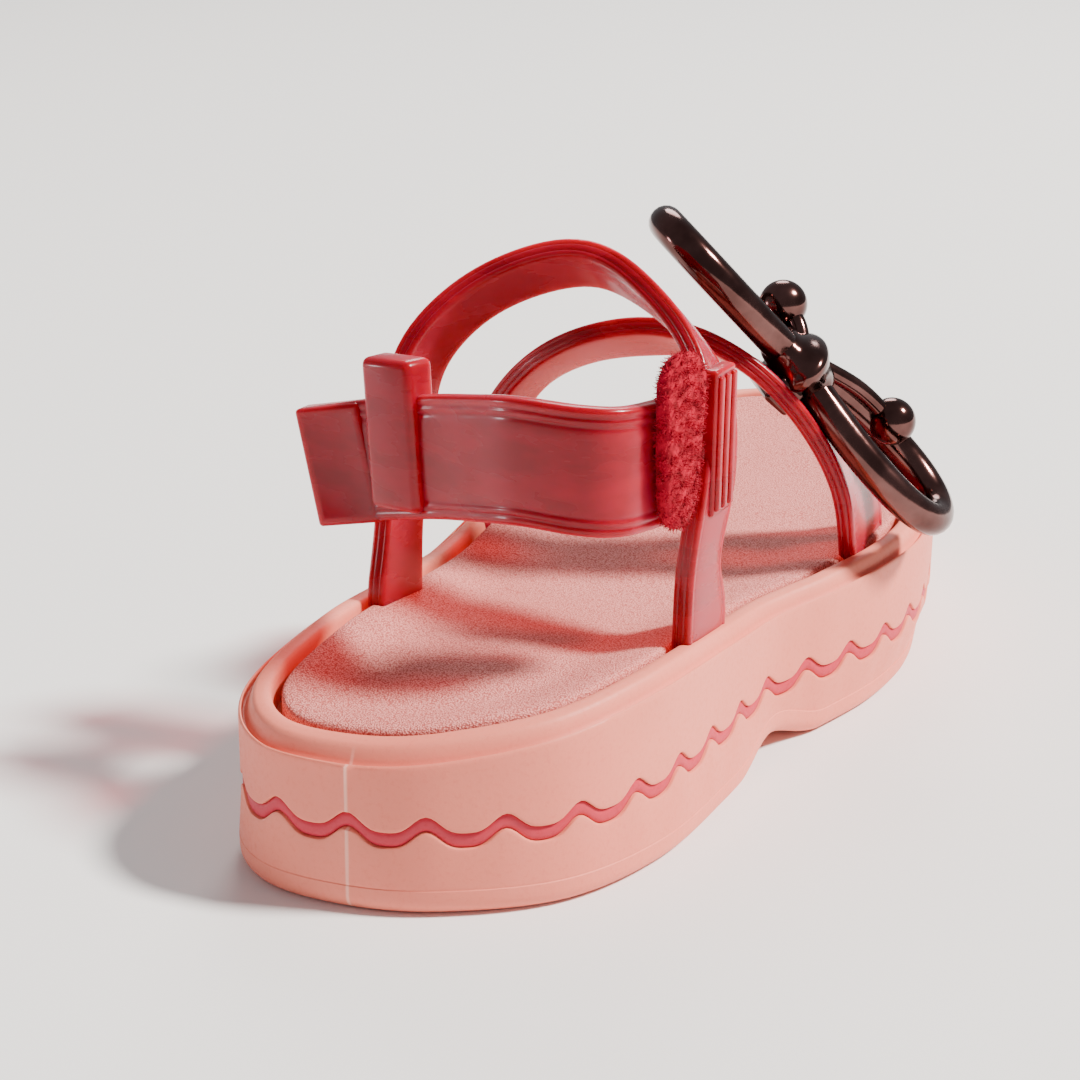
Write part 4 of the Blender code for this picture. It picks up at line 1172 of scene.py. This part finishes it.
# %% Fuzzy pad
fuzz, tree, shader, where = finish_of(
    "fuzzy_loop_pile", Sheen_Weight=0.25, Sheen_Roughness=0.4, Sheen_Tint=(1.0, 0.15, 0.20, 1.0),
    Specular_IOR_Level=0.2)
tufts = noise(tree, where, 900.0, 3.0)
tree.links.new(two_tone(tree, tufts, 0.35, 0.65, (0.22, 0.0, 0.008, 1.0),
                        (0.46, 0.001, 0.026, 1.0)), shader.inputs["Base Color"])
vary_roughness(tree, tufts, 0.8, 0.98, shader)
bump(tree, tufts.outputs["Fac"], shader, 0.0003, 1.0)
wear(pad_body, fuzz, "hook_pad")
wear(pad_pile, fuzz, "hook_pad")

# %% [markdown]
# The bow's plating is a dark rose-brown mirror. Real plating is never quite even, so a soft
# noise varies its roughness and a very small bump bends the reflections.

# %% Dark plating
plating, tree, shader, where = finish_of("rose_brown_plating", Metallic=1.0)
stain = noise(tree, where, 180.0, 3.0)
tree.links.new(two_tone(tree, stain, 0.35, 0.65, (0.085, 0.038, 0.034, 1.0),
                        (0.15, 0.070, 0.064, 1.0)), shader.inputs["Base Color"])
vary_roughness(tree, stain, 0.09, 0.20, shader)
bump(tree, stain.outputs["Fac"], shader, 0.00012, 0.5)
wear(bow, plating, "bow")

# %% [markdown]
# The studio is plain: a pale floor, a pale world and three lamps. The main lamp stands on the
# outer side, so that the outer wall is bright and the back of the heel is a little darker. It
# and the lamp ahead are far off and large, so that the floor is lit evenly.

# %% Floor and lamps
FLOOR_SIZE = 6.0
WORLD_STRENGTH = 0.30

deselect()
bpy.ops.mesh.primitive_plane_add(size=FLOOR_SIZE, location=(0.0, 0.0, 0.0))
floor = bpy.context.object
floor.name = "floor"
paper, _, shader, _ = finish_of("pale_paper", Roughness=0.9, Specular_IOR_Level=0.1)
shader.inputs["Base Color"].default_value = (0.86, 0.86, 0.855, 1.0)
floor.data.materials.append(paper)

world = bpy.data.worlds.new("studio")
bpy.context.scene.world = world
world.use_nodes = True
world.node_tree.nodes["Background"].inputs["Color"].default_value = (0.95, 0.96, 1.0, 1.0)
world.node_tree.nodes["Background"].inputs["Strength"].default_value = WORLD_STRENGTH

LAMPS = [
    # name, place in metres, size in metres, power in watts, colour
    ("key", (1.96, 0.84, 2.31), 0.52, 282.0, (1.0, 0.94, 0.88)),
    ("glint", (-0.46, -0.20, 0.08), 0.07, 0.35, (1.0, 0.90, 0.95)),
    ("back", (-0.90, 2.10, 1.80), 1.20, 36.0, (1.0, 0.96, 0.93)),
]
target = Vector((0.0, 0.03, 0.03))
for name, place, size, power, colour in LAMPS:
    lamp = bpy.data.lights.new(name, 'AREA')
    lamp.shape = 'DISK'
    lamp.size = size
    lamp.energy = power
    lamp.color = colour
    holder = bpy.data.objects.new(name, lamp)
    bpy.context.scene.collection.objects.link(holder)
    holder.location = place
    holder.rotation_euler = (target - Vector(place)).to_track_quat('-Z', 'Y').to_euler()

# %% [markdown]
# The camera stands where the photograph was taken from: behind the heel, on the outer side
# and a little above. It is turned so that the whole shoe is in the frame. The angles are in
# radians and the lens is in millimetres.

# %% Camera
EYE = Vector((121.2, -217.4, 122.4)) * MM
YAW = 0.4790
PITCH = 0.3250
ROLL = 0.0072
LENS = 70.0

camera_data = bpy.data.cameras.new("camera")
camera_data.sensor_fit = 'HORIZONTAL'
camera_data.sensor_width = 36.0
camera_data.lens = LENS
camera_data.clip_start = 0.01
camera = bpy.data.objects.new("camera", camera_data)
bpy.context.scene.collection.objects.link(camera)
turn = (Matrix.Rotation(YAW, 4, 'Z') @ Matrix.Rotation(math.pi / 2 - PITCH, 4, 'X')
        @ Matrix.Rotation(ROLL, 4, 'Z'))
camera.matrix_world = Matrix.Translation(EYE) @ turn
bpy.context.scene.camera = camera
